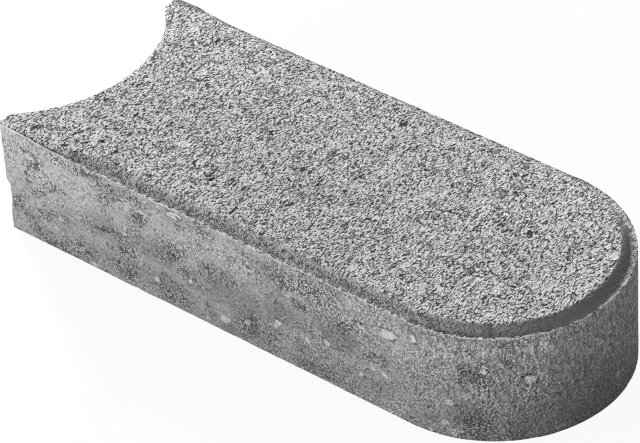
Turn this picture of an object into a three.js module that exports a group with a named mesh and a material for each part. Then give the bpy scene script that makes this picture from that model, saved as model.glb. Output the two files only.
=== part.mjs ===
// A concrete kerb stone for edging a lawn or a path.
// One dry-pressed concrete casting: two straight long sides, a half-round nose at one end and a
// hollow arc at the other, so that the nose of one stone seats in the hollow of the next.
// The bottom is a flat bed and the walls are plain mould faces.
// The pressing shoe sinks a step round the top: a raised crown with a steep slope, and a narrow
// ledge between that slope and the wall. Towards the horns the ledge closes up, and round the
// hollow end the crown reaches the wall with only a rounded edge.
//
// Millimetres, +Z up. The origin is the middle of the bed's bounding rectangle.
// +X runs towards the nose, and the hollow end faces -X.

import * as THREE from 'three';

// Driving dimensions of the body.
const STONE_LENGTH = 300; // horn tips to nose tip
const STONE_WIDTH = 123; // across the long sides
const STONE_HEIGHT = 60; // bed to crown
const RECESS_DEPTH = 24; // horn tips to the deepest point of the hollow arc
const HORN_WIDTH = 8.7; // flat end of each horn, corner to corner before rounding
const HORN_CORNER_RADIUS = 1.5; // rounding of the upright edges of the horns

// Driving dimensions of the pressed step round the top.
const SLOPE_WIDTH = 3.4; // steep slope in plan
const SLOPE_DROP = 2.6; // steep slope in height
const LEDGE_FALL = 0.3; // how much lower the ledge is at the wall than at the slope
const SIDE_LEDGE_WIDTH = 1.5; // along the straight sides
const NOSE_LEDGE_WIDTH = 3.4; // at the tip of the nose

// Driving dimensions of the rounded edge at the hollow end, where there is no ledge.
const SHOULDER_WIDTH = 2.6; // rounded edge along the hollow arc, in plan
const SHOULDER_DROP = 1.5; // the same edge in height
const FLUSH_SHARE = 0.4; // width of the edge on the long sides at the horns, beside the hollow's
const FLUSH_DROP = 0.5; // drop of the edge on the long sides at the horns
const DROP_BLEND = 7; // length from the horn tips over which one drop becomes the other
const TAPER_LENGTH = 38; // from the horn tips to where the ledge has its full width

// How finely each rounded stretch is stepped.
const NOSE_STEPS = 64;
const RECESS_STEPS = 40;
const CORNER_STEPS = 6;
const TAPER_STEPS = 8;

const CONCRETE_GREY = 0x9a9a9a;

// The hollow is a circular arc that springs from the inner corners of the two flat horn ends.
const recessHalfChord = STONE_WIDTH / 2 - HORN_WIDTH;
const recessRadius = (recessHalfChord ** 2 + RECESS_DEPTH ** 2) / (2 * RECESS_DEPTH);

// Rises from 0 at the start to 1 after the given length, with level ends.
function easeIn(distance, length) {
  const share = Math.min(Math.max(distance / length, 0), 1);
  return share * share * (3 - 2 * share);
}

// How fully a place belongs to the hollow end: 1 at the horn tips, 0 where the ledge is whole.
function hollowShare(fromHornTip) {
  return 1 - easeIn(fromHornTip, TAPER_LENGTH);
}

// Height of the rounded edge. Its share runs from 0 at the wall to 1 at the level crown.
function shoulderHeight(share, fromHornTip) {
  const flushness = easeIn(fromHornTip, DROP_BLEND);
  const drop = SHOULDER_DROP + (FLUSH_DROP - SHOULDER_DROP) * flushness;
  return STONE_HEIGHT - drop * (1 - Math.sqrt(1 - (1 - share) ** 2));
}

// Points of a circular arc, both ends included. Angles are in radians, anticlockwise from +X.
function arc(centreX, centreY, radius, startAngle, endAngle, steps) {
  const points = [];
  for (let step = 0; step <= steps; step += 1) {
    const angle = startAngle + ((endAngle - startAngle) * step) / steps;
    const x = centreX + radius * Math.cos(angle);
    const y = centreY + radius * Math.sin(angle);
    points.push(new THREE.Vector3(x, y, 0));
  }
  return points;
}

// One ring of the surface: the plan outline drawn in from the walls, each point at its height.
// side and nose are the insets at the long sides and at the nose tip, and height is the height
// there. share places the ring across the rounded edge of the hollow end. Every ring has the
// same number of points, anticlockwise, so that two rings can be joined point to point.
function ring({ side, nose, share, height }) {
  const recess = SHOULDER_WIDTH * share;
  const flush = FLUSH_SHARE * recess;
  const hornHalfWidth = STONE_WIDTH / 2 - flush;
  const noseRadius = STONE_WIDTH / 2 - side;
  const noseX = STONE_LENGTH / 2 - nose - noseRadius;
  const hornX = -STONE_LENGTH / 2 + recess;
  const arcRadius = recessRadius + recess;
  const arcX = -STONE_LENGTH / 2 + RECESS_DEPTH - recessRadius;

  // The two roundings of a horn share its flat end, so the end's width is the most they can use.
  const hornRoom = hornHalfWidth - Math.sqrt(arcRadius ** 2 - (hornX - arcX) ** 2);
  const cornerRadius = Math.min(HORN_CORNER_RADIUS, 0.45 * hornRoom);
  const cornerX = hornX + cornerRadius;
  const outerY = hornHalfWidth - cornerRadius;

  // Centre of the rounding between the flat end and the hollow arc, tangent to both.
  const innerX = cornerX - arcX;
  const innerY = Math.sqrt((arcRadius + cornerRadius) ** 2 - innerX ** 2);
  const tangentAngle = Math.atan2(innerY, innerX);

  // The long side from the horn's rounding to the end of the taper, for the front of the stone.
  const taperEndX = -STONE_LENGTH / 2 + TAPER_LENGTH;
  const taper = [];
  for (let step = 1; step <= TAPER_STEPS; step += 1) {
    const x = cornerX + ((taperEndX - cornerX) * step) / TAPER_STEPS;
    const fromHornTip = x + STONE_LENGTH / 2;
    const hollow = hollowShare(fromHornTip);
    const y = -STONE_WIDTH / 2 + side + (flush - side) * hollow;
    const z = height + (shoulderHeight(share, fromHornTip) - height) * hollow;
    taper.push(new THREE.Vector3(x, y, z));
  }
  const backTaper = taper.map(({ x, y, z }) => new THREE.Vector3(x, -y, z)).reverse();

  const frontHorn = arc(cornerX, -outerY, cornerRadius, Math.PI, 1.5 * Math.PI, CORNER_STEPS);
  const noseArc = arc(noseX, 0, noseRadius, -Math.PI / 2, Math.PI / 2, NOSE_STEPS);
  const hollowEnd = [
    ...arc(cornerX, outerY, cornerRadius, Math.PI / 2, Math.PI, CORNER_STEPS),
    ...arc(cornerX, innerY, cornerRadius, Math.PI, Math.PI + tangentAngle, CORNER_STEPS),
    ...arc(arcX, 0, arcRadius, tangentAngle, -tangentAngle, RECESS_STEPS).slice(1, -1),
    ...arc(cornerX, -innerY, cornerRadius, Math.PI - tangentAngle, Math.PI, CORNER_STEPS),
  ];
  for (const point of noseArc) {
    point.z = height;
  }
  for (const point of [...frontHorn, ...hollowEnd]) {
    point.z = shoulderHeight(share, 0);
  }
  return [...frontHorn, ...taper, ...noseArc, ...backTaper, ...hollowEnd];
}

// A closed solid through rings of equal length, lowest first. The first and last are level.
function loft(rings) {
  const ringSize = rings[0].length;
  const positions = rings.flat().flatMap(({ x, y, z }) => [x, y, z]);

  const indices = [];
  for (let level = 0; level < rings.length - 1; level += 1) {
    for (let index = 0; index < ringSize; index += 1) {
      const next = (index + 1) % ringSize;
      const low = level * ringSize + index;
      const lowNext = level * ringSize + next;
      indices.push(low, lowNext, lowNext + ringSize);
      indices.push(low, lowNext + ringSize, low + ringSize);
    }
  }

  // The bed faces down and the crown faces up.
  const bottom = rings[0];
  for (const [a, b, c] of THREE.ShapeUtils.triangulateShape(bottom, [])) {
    indices.push(a, c, b);
  }
  const top = rings[rings.length - 1];
  const topStart = (rings.length - 1) * ringSize;
  for (const [a, b, c] of THREE.ShapeUtils.triangulateShape(top, [])) {
    indices.push(topStart + a, topStart + b, topStart + c);
  }

  const geometry = new THREE.BufferGeometry();
  geometry.setAttribute('position', new THREE.Float32BufferAttribute(positions, 3));
  geometry.setIndex(indices);
  geometry.computeVertexNormals();
  return geometry;
}

// A ring part of the way up the steep slope, from 0 at the ledge to 1 at the crown.
function slopeRing(climb, share) {
  return ring({
    side: SIDE_LEDGE_WIDTH + climb * SLOPE_WIDTH,
    nose: NOSE_LEDGE_WIDTH + climb * SLOPE_WIDTH,
    share,
    height: STONE_HEIGHT - (1 - climb) * SLOPE_DROP,
  });
}

function kerbStoneGeometry() {
  const wallTop = STONE_HEIGHT - SLOPE_DROP - LEDGE_FALL;
  const wallRing = ring({ side: 0, nose: 0, share: 0, height: wallTop });
  const bedRing = wallRing.map(({ x, y }) => new THREE.Vector3(x, y, 0));
  const ledgeRing = slopeRing(0, 0.16);
  const middleRing = slopeRing(0.5, 0.5);
  const crownRing = slopeRing(1, 1);
  return loft([bedRing, wallRing, ledgeRing, middleRing, crownRing]);
}

const concrete = new THREE.MeshStandardMaterial({
  name: 'pressed_concrete',
  color: CONCRETE_GREY,
  roughness: 0.95,
  metalness: 0,
});

const kerbStone = new THREE.Mesh(kerbStoneGeometry(), concrete);
kerbStone.name = 'kerb_stone';

const stone = new THREE.Group();
stone.add(kerbStone);

export default stone;
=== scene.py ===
# %% [markdown]
# A concrete kerb stone, dressed in Blender around its imported model.
# The real stone is pressed from an earth-dry mix. A steel mould gives the walls a smooth, blotchy
# skin of cement paste, and the pressing shoe leaves the top rough and open, with a sunk step round
# it. Bump on the imported solid alone could show the grain, but its edges would stay dead straight.
# So one new mesh carries the relief that shows against the light, and two procedural finishes
# carry what is finer. First the imported model is loaded. It gives the stone's main sizes.

# %% Load the imported model
import math

import bpy
import numpy as np
from mathutils import Matrix, Vector


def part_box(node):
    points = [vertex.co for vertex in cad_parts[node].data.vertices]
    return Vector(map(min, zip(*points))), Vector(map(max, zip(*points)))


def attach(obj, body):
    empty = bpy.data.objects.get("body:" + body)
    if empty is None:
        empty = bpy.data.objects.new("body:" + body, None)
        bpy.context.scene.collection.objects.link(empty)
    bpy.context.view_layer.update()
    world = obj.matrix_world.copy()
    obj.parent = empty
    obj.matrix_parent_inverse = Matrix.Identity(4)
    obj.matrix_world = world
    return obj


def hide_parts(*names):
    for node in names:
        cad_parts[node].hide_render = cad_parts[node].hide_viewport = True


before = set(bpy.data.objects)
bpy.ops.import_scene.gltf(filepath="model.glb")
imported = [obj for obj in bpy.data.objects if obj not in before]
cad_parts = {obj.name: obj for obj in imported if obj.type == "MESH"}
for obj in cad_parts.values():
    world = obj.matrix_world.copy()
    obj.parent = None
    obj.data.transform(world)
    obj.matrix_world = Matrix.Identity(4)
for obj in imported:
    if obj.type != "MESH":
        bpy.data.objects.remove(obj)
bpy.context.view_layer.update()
STONE_NODE = "kerb_stone"
low_corner, high_corner = (np.array(corner) * 1000 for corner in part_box(STONE_NODE))
LENGTH, WIDTH, HEIGHT = (high_corner - low_corner).round(3)
print(f"packed stone: {LENGTH:.1f} x {WIDTH:.1f} x {HEIGHT:.1f} mm")

# %% [markdown]
# The plan of the stone is two straight sides, a half-round nose and a hollow arc between two
# blunt horns. The top has three levels: the rough crown, a steep slope down from it, and a narrow
# ledge along the wall. The ledge is wider round the nose, where the shoe sits further in.
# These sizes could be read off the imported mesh, but written out they can be changed one by one.
# Everything is worked out in millimetres and divided by 1000 where it enters Blender.

# %% Sizes of the stone, in millimetres
RECESS_DEPTH = 24.0                 # of the hollow, along the stone
HORN_WIDTH = 8.7                    # of each horn's blunt tip
HORN_CORNER = 1.5                   # rounding of the tips
SLOPE_WIDTH, SLOPE_DROP = 3.4, 2.6  # of the slope round the crown
SIDE_LEDGE, NOSE_LEDGE = 1.5, 3.4   # width of the ledge along the sides and round the nose
LEDGE_FALL = 0.3                    # of the ledge, towards the wall
SHOULDER_WIDTH = 2.6                # of the worn edge where there is no ledge, at the horns
SHOULDER_DROP = 1.5
FLUSH_DROP = 0.5                    # the same drop where the shoulder turns into the ledge

recess_chord = WIDTH / 2 - HORN_WIDTH
recess_radius = (recess_chord**2 + RECESS_DEPTH**2) / (2 * RECESS_DEPTH)
print(f"hollow arc: radius {recess_radius:.1f} mm, half chord {recess_chord:.1f} mm")

# %% [markdown]
# The camera stands off the stone's front right and looks down on it through a long lens, so the
# long edges run nearly parallel. A camera could be dragged into place by hand. An aim point, a
# distance and three angles say the same in numbers, and each of them changes one thing only.
# The lens is given for a 36 mm sensor.

# %% Camera
AIM_POINT = Vector((-0.00922, -0.0035, 0.030))
CAMERA_DISTANCE = 1.794
CAMERA_AZIMUTH, CAMERA_ELEVATION, CAMERA_ROLL = (math.radians(a) for a in (42.08, 37.43, -3.70))
LENS_MM, SENSOR_MM = 224.9, 36


def camera_axes(azimuth, elevation, roll):
    """Right, up and back of a camera that looks at the origin from that azimuth (0 is from -Y)
    and elevation, then rolled about its own line of sight."""
    back = Vector((math.sin(azimuth) * math.cos(elevation),
                   -math.cos(azimuth) * math.cos(elevation),
                   math.sin(elevation)))
    level = Vector((math.cos(azimuth), math.sin(azimuth), 0))
    above = back.cross(level)
    right = math.cos(roll) * level + math.sin(roll) * above
    up = math.cos(roll) * above - math.sin(roll) * level
    return right, up, back


right, up, back = camera_axes(CAMERA_AZIMUTH, CAMERA_ELEVATION, CAMERA_ROLL)
turn = Matrix((right, up, back)).transposed()
camera_data = bpy.data.cameras.new("camera")
camera_data.lens = LENS_MM
camera_data.sensor_width = SENSOR_MM
camera = bpy.data.objects.new("camera", camera_data)
camera.matrix_world = Matrix.Translation(AIM_POINT + back * CAMERA_DISTANCE) @ turn.to_4x4()
bpy.context.scene.collection.objects.link(camera)
bpy.context.scene.camera = camera
print("camera at", tuple(round(value, 3) for value in camera.location))

# %% [markdown]
# Concrete relief is random but not shapeless. Blender's displace modifier could make it, but then
# the masks that the finishes need could not follow it. So the noise is worked out here, on
# whole arrays. All of it starts from a number for each corner of a cubic lattice that looks random
# and is the same in every run. Soft noise blends those numbers between the corners, and gives
# waves and stains.

# %% Soft noise
LATTICE_FACTORS = (374761393, 668265263, 2147483647)
SEED_FACTOR = 1274126177
MIX_FACTORS = (1103515245, 2654435761)


def lattice_value(corner, seed):
    """A fixed random number from 0 to 1 for each integer lattice corner: the three whole
    coordinates and the seed are multiplied by large odd numbers and their bits mixed."""
    mixed = seed * SEED_FACTOR + sum(corner[..., axis] * LATTICE_FACTORS[axis] for axis in range(3))
    mixed = (mixed ^ (mixed >> 13)) * MIX_FACTORS[0] & 0xFFFFFFFF
    mixed = (mixed ^ (mixed >> 16)) * MIX_FACTORS[1] & 0xFFFFFFFF
    return ((mixed ^ (mixed >> 15)) & 0xFFFFFF) / 0xFFFFFF


def soft_noise(points, size, seed):
    """Smooth noise from -1 to 1 with features about size across: lattice values blended by
    t*t*(3-2t) along each axis. size may differ by axis."""
    place = points / size
    corner = np.floor(place).astype(np.int64)
    blend = place - corner
    blend = blend * blend * (3 - 2 * blend)
    total = np.zeros(len(points))
    for step in np.ndindex(2, 2, 2):
        share = np.where(step, blend, 1 - blend).prod(axis=1)
        total += share * lattice_value(corner + np.array(step), seed)
    return 2 * total - 1


def layered_noise(points, size, layers, seed):
    """Soft noise in layers, each half the size and half the strength of the one before."""
    total = np.zeros(len(points))
    for layer in range(layers):
        total += soft_noise(points, np.asarray(size) / 2**layer, seed + layer) / 2**layer
    return total / (2 - 2 ** (1 - layers))


print("soft noise at the origin:", soft_noise(np.zeros((1, 3)), 1.0, 1).round(3))

# %% [markdown]
# Grains are different: round, with sharp valleys between them. Pebble noise drops one random point
# into each lattice cell and measures how far away the nearest one is. Blurred noise with a
# threshold would give blobs instead of grains. Every mask below is softened by the same smooth
# step, so that no edge of a mask shows as a line.

# %% Pebble noise and the smooth step
FAR = 9.0


def pebble_noise(points, size, seed):
    """Distance to the nearest of one random point per lattice cell, in cells, and that
    point's own random value from 0 to 1."""
    place = points / size
    corner = np.floor(place).astype(np.int64)
    nearest = np.full(len(points), FAR)
    value = np.zeros(len(points))
    for step in np.ndindex(3, 3, 3):
        cell = corner + np.array(step) - 1
        offset = np.stack([lattice_value(cell, seed + axis) for axis in range(3)], axis=1)
        distance = np.linalg.norm(cell + offset - place, axis=1)
        closer = distance < nearest
        nearest = np.where(closer, distance, nearest)
        value = np.where(closer, lattice_value(cell, seed + 3), value)
    return nearest, value


def smooth_step(low, high, value):
    """0 below low, 1 above high, and t*t*(3-2t) between. With low above high it falls instead."""
    share = np.clip((value - low) / (high - low), 0, 1)
    return share * share * (3 - 2 * share)


print("smooth step half way:", smooth_step(0, 1, 0.5))

# %% [markdown]
# The crown is a grid that runs from the hollow arc to the nose. Straight rows would bunch up where
# the nose turns, and a fan round its centre would pinch there, so the nose uses the map that bends
# half a square into half a disc. The same map with other insets gives every outline below the
# crown with matching points, so the rings join the grid without a seam.

# %% Plan map
BODY_SHARE = 0.825   # of the rows lie in the straight body, and the rest in the nose
TAPER_SHARE = 0.16   # of the body, over which the ledge runs out towards the horns
FLUSH_SHARE = 0.4    # of the shoulder's inset that stays along the side at the horns
WORN_SHARE = 0.03    # of the stone, over which the edge wears down to the full shoulder


def horn_share(along):
    """1 at the hollow end, falling to 0 over the first part of each long side."""
    return 1 - smooth_step(0, TAPER_SHARE, np.asarray(along) / BODY_SHARE)


def plan_points(along, across, side, nose, recess):
    """Plan position for along from 0 at the hollow to 1 at the nose and across from -1 at the
    front to 1 at the back, with an inset from the side, the nose and the hollow. The body is a
    straight blend from the hollow edge to the nose's centre line, and the nose is
    x = R u sqrt(1 - v*v/2), y = R v sqrt(1 - u*u/2)."""
    tip = horn_share(along)
    half = WIDTH / 2 - side + (side - FLUSH_SHARE * recess) * tip
    nose_half = WIDTH / 2 - side
    nose_centre = LENGTH / 2 - nose - nose_half
    arc_radius = recess_radius + recess
    arc_centre = -LENGTH / 2 + RECESS_DEPTH - recess_radius
    horn_end = -LENGTH / 2 + recess
    straight_y = across * half
    arc_edge = arc_centre + np.sqrt(arc_radius**2 - straight_y**2)
    mix = np.clip(0.5 + (arc_edge - horn_end) / (2 * HORN_CORNER), 0, 1)
    edge = horn_end + (arc_edge - horn_end) * mix + HORN_CORNER * mix * (1 - mix)
    turn_in = np.clip(1 - (half - np.abs(straight_y)) / HORN_CORNER, 0, 1)
    edge = edge + HORN_CORNER * (1 - np.sqrt(1 - turn_in**2))
    body = np.minimum(along / BODY_SHARE, 1)
    reach = np.maximum((along - BODY_SHARE) / (1 - BODY_SHARE), 0)
    x = edge + (nose_centre - edge) * body + half * reach * np.sqrt(1 - across**2 / 2)
    y = straight_y * np.sqrt(1 - reach**2 / 2)
    return x, y


def edge_drop(along):
    """How far the edge is worn down where there is no ledge: most at the hollow."""
    worn = 1 - smooth_step(0, WORN_SHARE, np.asarray(along))
    return FLUSH_DROP + (SHOULDER_DROP - FLUSH_DROP) * worn


nose_tip = plan_points(np.ones(1), np.zeros(1), 0, 0, 0)
print(f"the nose ends at x = {nose_tip[0][0]:.1f} mm")

# %% [markdown]
# The mesh is built as index arrays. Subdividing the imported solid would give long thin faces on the
# crown, and relief needs even ones. So the crown is a grid of about 0.8 mm, and rings with as many
# points go down the slope and the ledge. The walls are smoother, so their rings have half as many
# points, and the bed is a coarser grid again. Between a ring and one with half its points lie
# three triangles to each pair of points.

# %% Index helpers


def grid_quads(index):
    """Faces between neighbours of a 2-D array of vertex numbers, facing up."""
    corners = [index[:-1, :-1], index[1:, :-1], index[1:, 1:], index[:-1, 1:]]
    return np.stack(corners, -1).reshape(-1, 4)


def border(index):
    """The numbers round the edge of a grid, anticlockwise from its first corner."""
    return np.concatenate([index[:-1, 0], index[-1, :-1], index[:0:-1, -1], index[0, :0:-1]])


def loop_quads(upper, lower):
    """Faces between two rings of as many points, facing out."""
    return np.stack([lower, np.roll(lower, -1), np.roll(upper, -1), upper], axis=1)


def halving_triangles(upper, lower):
    """Faces between a ring and one with half as many points."""
    even, odd, following = upper[::2], upper[1::2], np.roll(upper[::2], -1)
    lower_next = np.roll(lower, -1)
    fans = [(lower, lower_next, odd), (lower, odd, even), (lower_next, following, odd)]
    return np.concatenate([np.stack(fan, axis=1) for fan in fans])


class StoneMesh:
    """Collects points and faces, and numbers the points in the order they come."""

    def __init__(self):
        self.points, self.quads, self.triangles, self.count = [], [], [], 0

    def add(self, x, y, z):
        """Adds the points of three arrays of one shape and returns their numbers in that shape."""
        x, y, z = np.broadcast_arrays(x, y, z)
        self.points.append(np.stack([x.ravel(), y.ravel(), z.ravel()], axis=1))
        index = np.arange(self.count, self.count + x.size)
        self.count += x.size
        return index.reshape(x.shape)


print("a grid of 3 x 3 points has", len(grid_quads(np.arange(9).reshape(3, 3))), "faces")

# %% [markdown]
# The crown is the level top between the slopes. It could be one flat face with bump on it, but its
# pits have to cast shadows, so it is a grid fine enough to hold grains of 2 mm. Its border becomes
# the first ring of the step.

# %% Crown
ROWS, COLUMNS = 388, 160


def grid_parameters(rows, columns):
    """Along from 0 to 1 and across from -1 to 1 for a grid with that many faces each way."""
    return np.meshgrid(np.linspace(0, 1, rows + 1), np.linspace(-1, 1, columns + 1), indexing="ij")


stone = StoneMesh()
along, across = grid_parameters(ROWS, COLUMNS)
crown_x, crown_y = plan_points(
    along, across, SIDE_LEDGE + SLOPE_WIDTH, NOSE_LEDGE + SLOPE_WIDTH, SHOULDER_WIDTH)
crown = stone.add(crown_x, crown_y, HEIGHT)
stone.quads.append(grid_quads(crown))
ring = border(crown)
print(f"crown: {crown.size} points, {len(ring)} of them on its edge")

# %% [markdown]
# The step is pressed into the real stone by the shoe's rim, and the squeezed-out mix leaves a
# small burr along the wall. A bevel could not follow a step whose width changes, so the section is
# a list of rings: inset at the side, inset at the nose, share of the horns' shoulder, height.
# Towards the horns each ring blends into a rounded shoulder.

# %% Slope, ledge and burr
ledge_top = HEIGHT - SLOPE_DROP
wall_top = ledge_top - LEDGE_FALL
SLOPE_STEPS = [(0.7, 0.74, 0.16), (0.45, 0.5, 0.5), (0.2, 0.3, 0.86)]
BURR_HIGH = 0.2
MID_LEDGE = 0.4
profile = [(SIDE_LEDGE + width * SLOPE_WIDTH, NOSE_LEDGE + width * SLOPE_WIDTH, share,
            HEIGHT - drop * SLOPE_DROP) for width, share, drop in SLOPE_STEPS]
profile += [
    (SIDE_LEDGE, NOSE_LEDGE, 0.16, ledge_top),
    (SIDE_LEDGE / 2 + MID_LEDGE, NOSE_LEDGE / 2 + MID_LEDGE, 0.08, ledge_top - 0.4 * LEDGE_FALL),
    (0.75, 0.75, 0.04, wall_top),
    (0.3, 0.3, 0.015, wall_top + BURR_HIGH),
    (0.0, 0.0, 0.0, wall_top),
]


def loop_parameters(rows, columns):
    """Along and across round the grid's border, anticlockwise from the front horn."""
    up_along, up_across = np.arange(rows) / rows, 2 * np.arange(columns) / columns - 1
    along = np.concatenate([up_along, np.ones(columns), 1 - up_along, np.zeros(columns)])
    across = np.concatenate([-np.ones(rows), up_across, np.ones(rows), -up_across])
    return along, across


loop_along, loop_across = loop_parameters(ROWS, COLUMNS)
ring_starts = []
for side, nose, share, side_height in profile:
    shoulder = HEIGHT - edge_drop(loop_along) * (1 - math.sqrt(1 - (1 - share) ** 2))
    height = side_height + (shoulder - side_height) * horn_share(loop_along)
    ring_x, ring_y = plan_points(loop_along, loop_across, side, nose, SHOULDER_WIDTH * share)
    lower = stone.add(ring_x, ring_y, height)
    ring_starts.append(lower[0])
    stone.quads.append(loop_quads(ring, lower))
    ring = lower
top_count = stone.count
print(f"top: {len(profile)} rings below the crown, {top_count} points so far")

# %% [markdown]
# The walls are straight, as the mould leaves them, with a small bevel at the foot where the mix
# did not fill the corner. An extrusion would leave one tall face from top to foot, too coarse for
# the waves and pocks of the skin, so thirty rings go down the wall. The bed is a grid inside the
# last ring, with its faces turned to look down.

# %% Walls and bed
WALL_ROWS = 30
FOOT_BEVEL, FOOT_INSET = 0.4, 0.5

half_along, half_across = loop_parameters(ROWS // 2, COLUMNS // 2)
wall_x, wall_y = plan_points(half_along, half_across, 0, 0, 0)
wall_edge = wall_top + (HEIGHT - edge_drop(half_along) - wall_top) * horn_share(half_along)
for row, share in enumerate(np.linspace(1, 0, WALL_ROWS + 1)[1:]):
    lower = stone.add(wall_x, wall_y, FOOT_BEVEL + (wall_edge - FOOT_BEVEL) * share)
    if row:
        stone.quads.append(loop_quads(ring, lower))
    else:
        stone.triangles.append(halving_triangles(ring, lower))
    ring = lower

bed_along, bed_across = grid_parameters(ROWS // 4, COLUMNS // 4)
bed_x, bed_y = plan_points(bed_along, bed_across, FOOT_INSET, FOOT_INSET, FOOT_INSET)
bed = stone.add(bed_x, bed_y, 0)
stone.quads.append(grid_quads(bed)[:, ::-1])
stone.triangles.append(halving_triangles(ring, border(bed)))

points = np.concatenate(stone.points)
quads = np.concatenate(stone.quads)
triangles = np.concatenate(stone.triangles)
print(f"stone: {len(points)} points, {2 * len(quads) + len(triangles)} triangles")

# %% [markdown]
# Relief moves each point along the surface's own direction, which is the sum of the cross products
# of the faces round it. To say where a kind of relief belongs, each point also needs to know how
# far in from the crown's edge it lies, at what angle round the nose, and whether it is on the top,
# a wall or the bed. Vertex groups could be painted by hand, but these masks follow every change
# of the sizes above.

# %% Directions and places of the points
# A pair holds the two limits of a smooth step, in millimetres where nothing else is said.
HORN_FREE, HORN_FADE = 14, 62     # from the hollow end, where horn_near starts and stops fading
LEDGE_SOFT = 0.4
TOP_SOFT, CROWN_SOFT = (-0.2, 0.8), (0.6, -0.3)
BED_FACING = (-0.8, -0.95)        # height of the direction's arrow: -1 looks straight down


def face_fans(quads, triangles):
    """All faces as triangles, each quad split in two."""
    return np.concatenate([quads[:, [0, 1, 2]], quads[:, [0, 2, 3]], triangles])


def point_normals(points, fans):
    """Unit sum of the cross products of the triangles round each point."""
    corner = points[fans]
    cross = np.cross(corner[:, 1] - corner[:, 0], corner[:, 2] - corner[:, 0])
    total = np.stack([
        np.bincount(fans.ravel(), np.repeat(cross[:, axis], 3), len(points)) for axis in range(3)
    ], axis=1)
    return total / np.linalg.norm(total, axis=1, keepdims=True)


normals = point_normals(points, face_fans(quads, triangles))
x, y, z = points.T
hollow_end = -LENGTH / 2
crown_radius = WIDTH / 2 - SIDE_LEDGE - SLOPE_WIDTH
crown_centre = LENGTH / 2 - NOSE_LEDGE - SLOPE_WIDTH - crown_radius
from_edge = crown_radius - np.hypot(np.maximum(x - crown_centre, 0), y)
nose_angle = np.degrees(np.arctan2(y, np.maximum(x - crown_centre, 0.01)))
horn_near = 1 - smooth_step(hollow_end + HORN_FREE, hollow_end + HORN_FADE, x)
on_ledge = smooth_step(-SLOPE_WIDTH + LEDGE_SOFT, -SLOPE_WIDTH - LEDGE_SOFT, from_edge)
is_top = smooth_step(wall_top + TOP_SOFT[0], wall_top + TOP_SOFT[1], z)
is_crown = smooth_step(ledge_top + CROWN_SOFT[0], HEIGHT + CROWN_SOFT[1], z)
is_bed = smooth_step(*BED_FACING, normals[:, 2])
print(f"crown: nose radius {crown_radius:.1f} mm, centred at x = {crown_centre:.1f} mm")

# %% [markdown]
# The step looks different round the stone. Along the front it is a dark, frayed band, and its dark
# is painted shade. Round the nose the shoe has rubbed it smooth, and its lee side, away from the
# light, is painted darker still as painted shade. At the back it is light again. Each of these is a
# mask from 0 to 1 that the mesh carries to the finish. A picture painted for this one stone could
# say it too, but these masks are made from angles and distances, and follow the stone when its
# sizes change.

# %% Masks of the step
LEE_RISES, LEE_FALLS = (-52, -22), (48, 40)      # degrees round the nose
LEDGE_LIT = (0, 8)                               # degrees, where the ledge comes into the light
RUBBED_REACH, RUBBED_ACROSS = 25, (30, 0)
TURN_REACH, TURN_ACROSS = 45, (52, 40)
FRINGE_WIDTH, NOSE_FRINGE = 2.9, 0.5             # how far the dark band frays into the crown
FRINGE_CORE, FRINGE_UNDER = 0.25, 0.3            # the band is full up to this share, less this
RAGGED, RAGGED_MM, NOSE_EVEN = 1.4, 2.4, 0.6     # how far, how finely, and less of it at the nose
HORN_PULL = 9.0                                  # the band leaves the edge towards the horns
BACK_BRIGHT, BACK_ANGLES = 0.9, (42, 58)

# The lee mask marks the side of the nose turned away from the key light, which the finishes paint
# darker as painted shade.
lee = smooth_step(*LEE_RISES, nose_angle) * smooth_step(*LEE_FALLS, nose_angle)
lee *= 1 - on_ledge * smooth_step(*LEDGE_LIT, nose_angle)
# The front of the nose, where the step's bump is calmed and the step is painted one even dark grey as
# painted shade.
rubbed_and_shaded = smooth_step(crown_centre, crown_centre + RUBBED_REACH, x)
rubbed_and_shaded *= smooth_step(*RUBBED_ACROSS, y)
nose_turn = smooth_step(crown_centre, crown_centre + TURN_REACH, x)
nose_turn *= smooth_step(*TURN_ACROSS, y)
ragged = RAGGED * layered_noise(points, RAGGED_MM, 2, 83) * (1 - NOSE_EVEN * nose_turn)
fringe_width = FRINGE_WIDTH + (NOSE_FRINGE - FRINGE_WIDTH) * nose_turn
fringe_place = from_edge + ragged + HORN_PULL * horn_near
band = smooth_step(fringe_width, FRINGE_CORE * fringe_width - FRINGE_UNDER, fringe_place)
band *= 1 - BACK_BRIGHT * smooth_step(*BACK_ANGLES, nose_angle)
print("share of the points in the band:", round(float(band.mean()), 3))

# %% [markdown]
# The burr is the thin lip of paste along the top edge of the wall. It is a mask of its own rings,
# not noise near the edge, so it stays exactly one face wide. At the back it is broken off in
# places, and there the step is painted dark, as painted shade of the ledge behind the crown's edge.

# %% Masks of the burr
RIM_WIDE = 0.4                                   # how strongly the ring inside it still shows
GAP_ACROSS, GAP_REACH, GAP_DEPTH = (5, 15), 25, (-0.8, -2.2)
GAP_MM, GAP_PIECES = 9.0, (-0.25, 0.05)

back_side = smooth_step(*GAP_ACROSS, y) * smooth_step(crown_centre + GAP_REACH, crown_centre, x)
back_shade_gap = smooth_step(*GAP_DEPTH, from_edge) * back_side * is_top
back_shade_gap *= smooth_step(*GAP_PIECES, layered_noise(points, GAP_MM, 2, 107))
rim = np.zeros(len(points))
rim[ring_starts[-2]:top_count] = 1
rim[ring_starts[-3]:ring_starts[-2]] = RIM_WIDE
rim *= 1 - back_shade_gap
print("points on the burr:", int((rim > 0.5).sum()))

# %% [markdown]
# On the top, coarse grains of 2 to 3 mm stand up between open pits, and the whole face waves by a
# fraction of a millimetre where the fill was uneven. There is also one nick in the slope round the
# nose. All of it could be bump, but bump casts no shadow into a pit, so what is larger than the
# mesh's faces is real relief.

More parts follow.
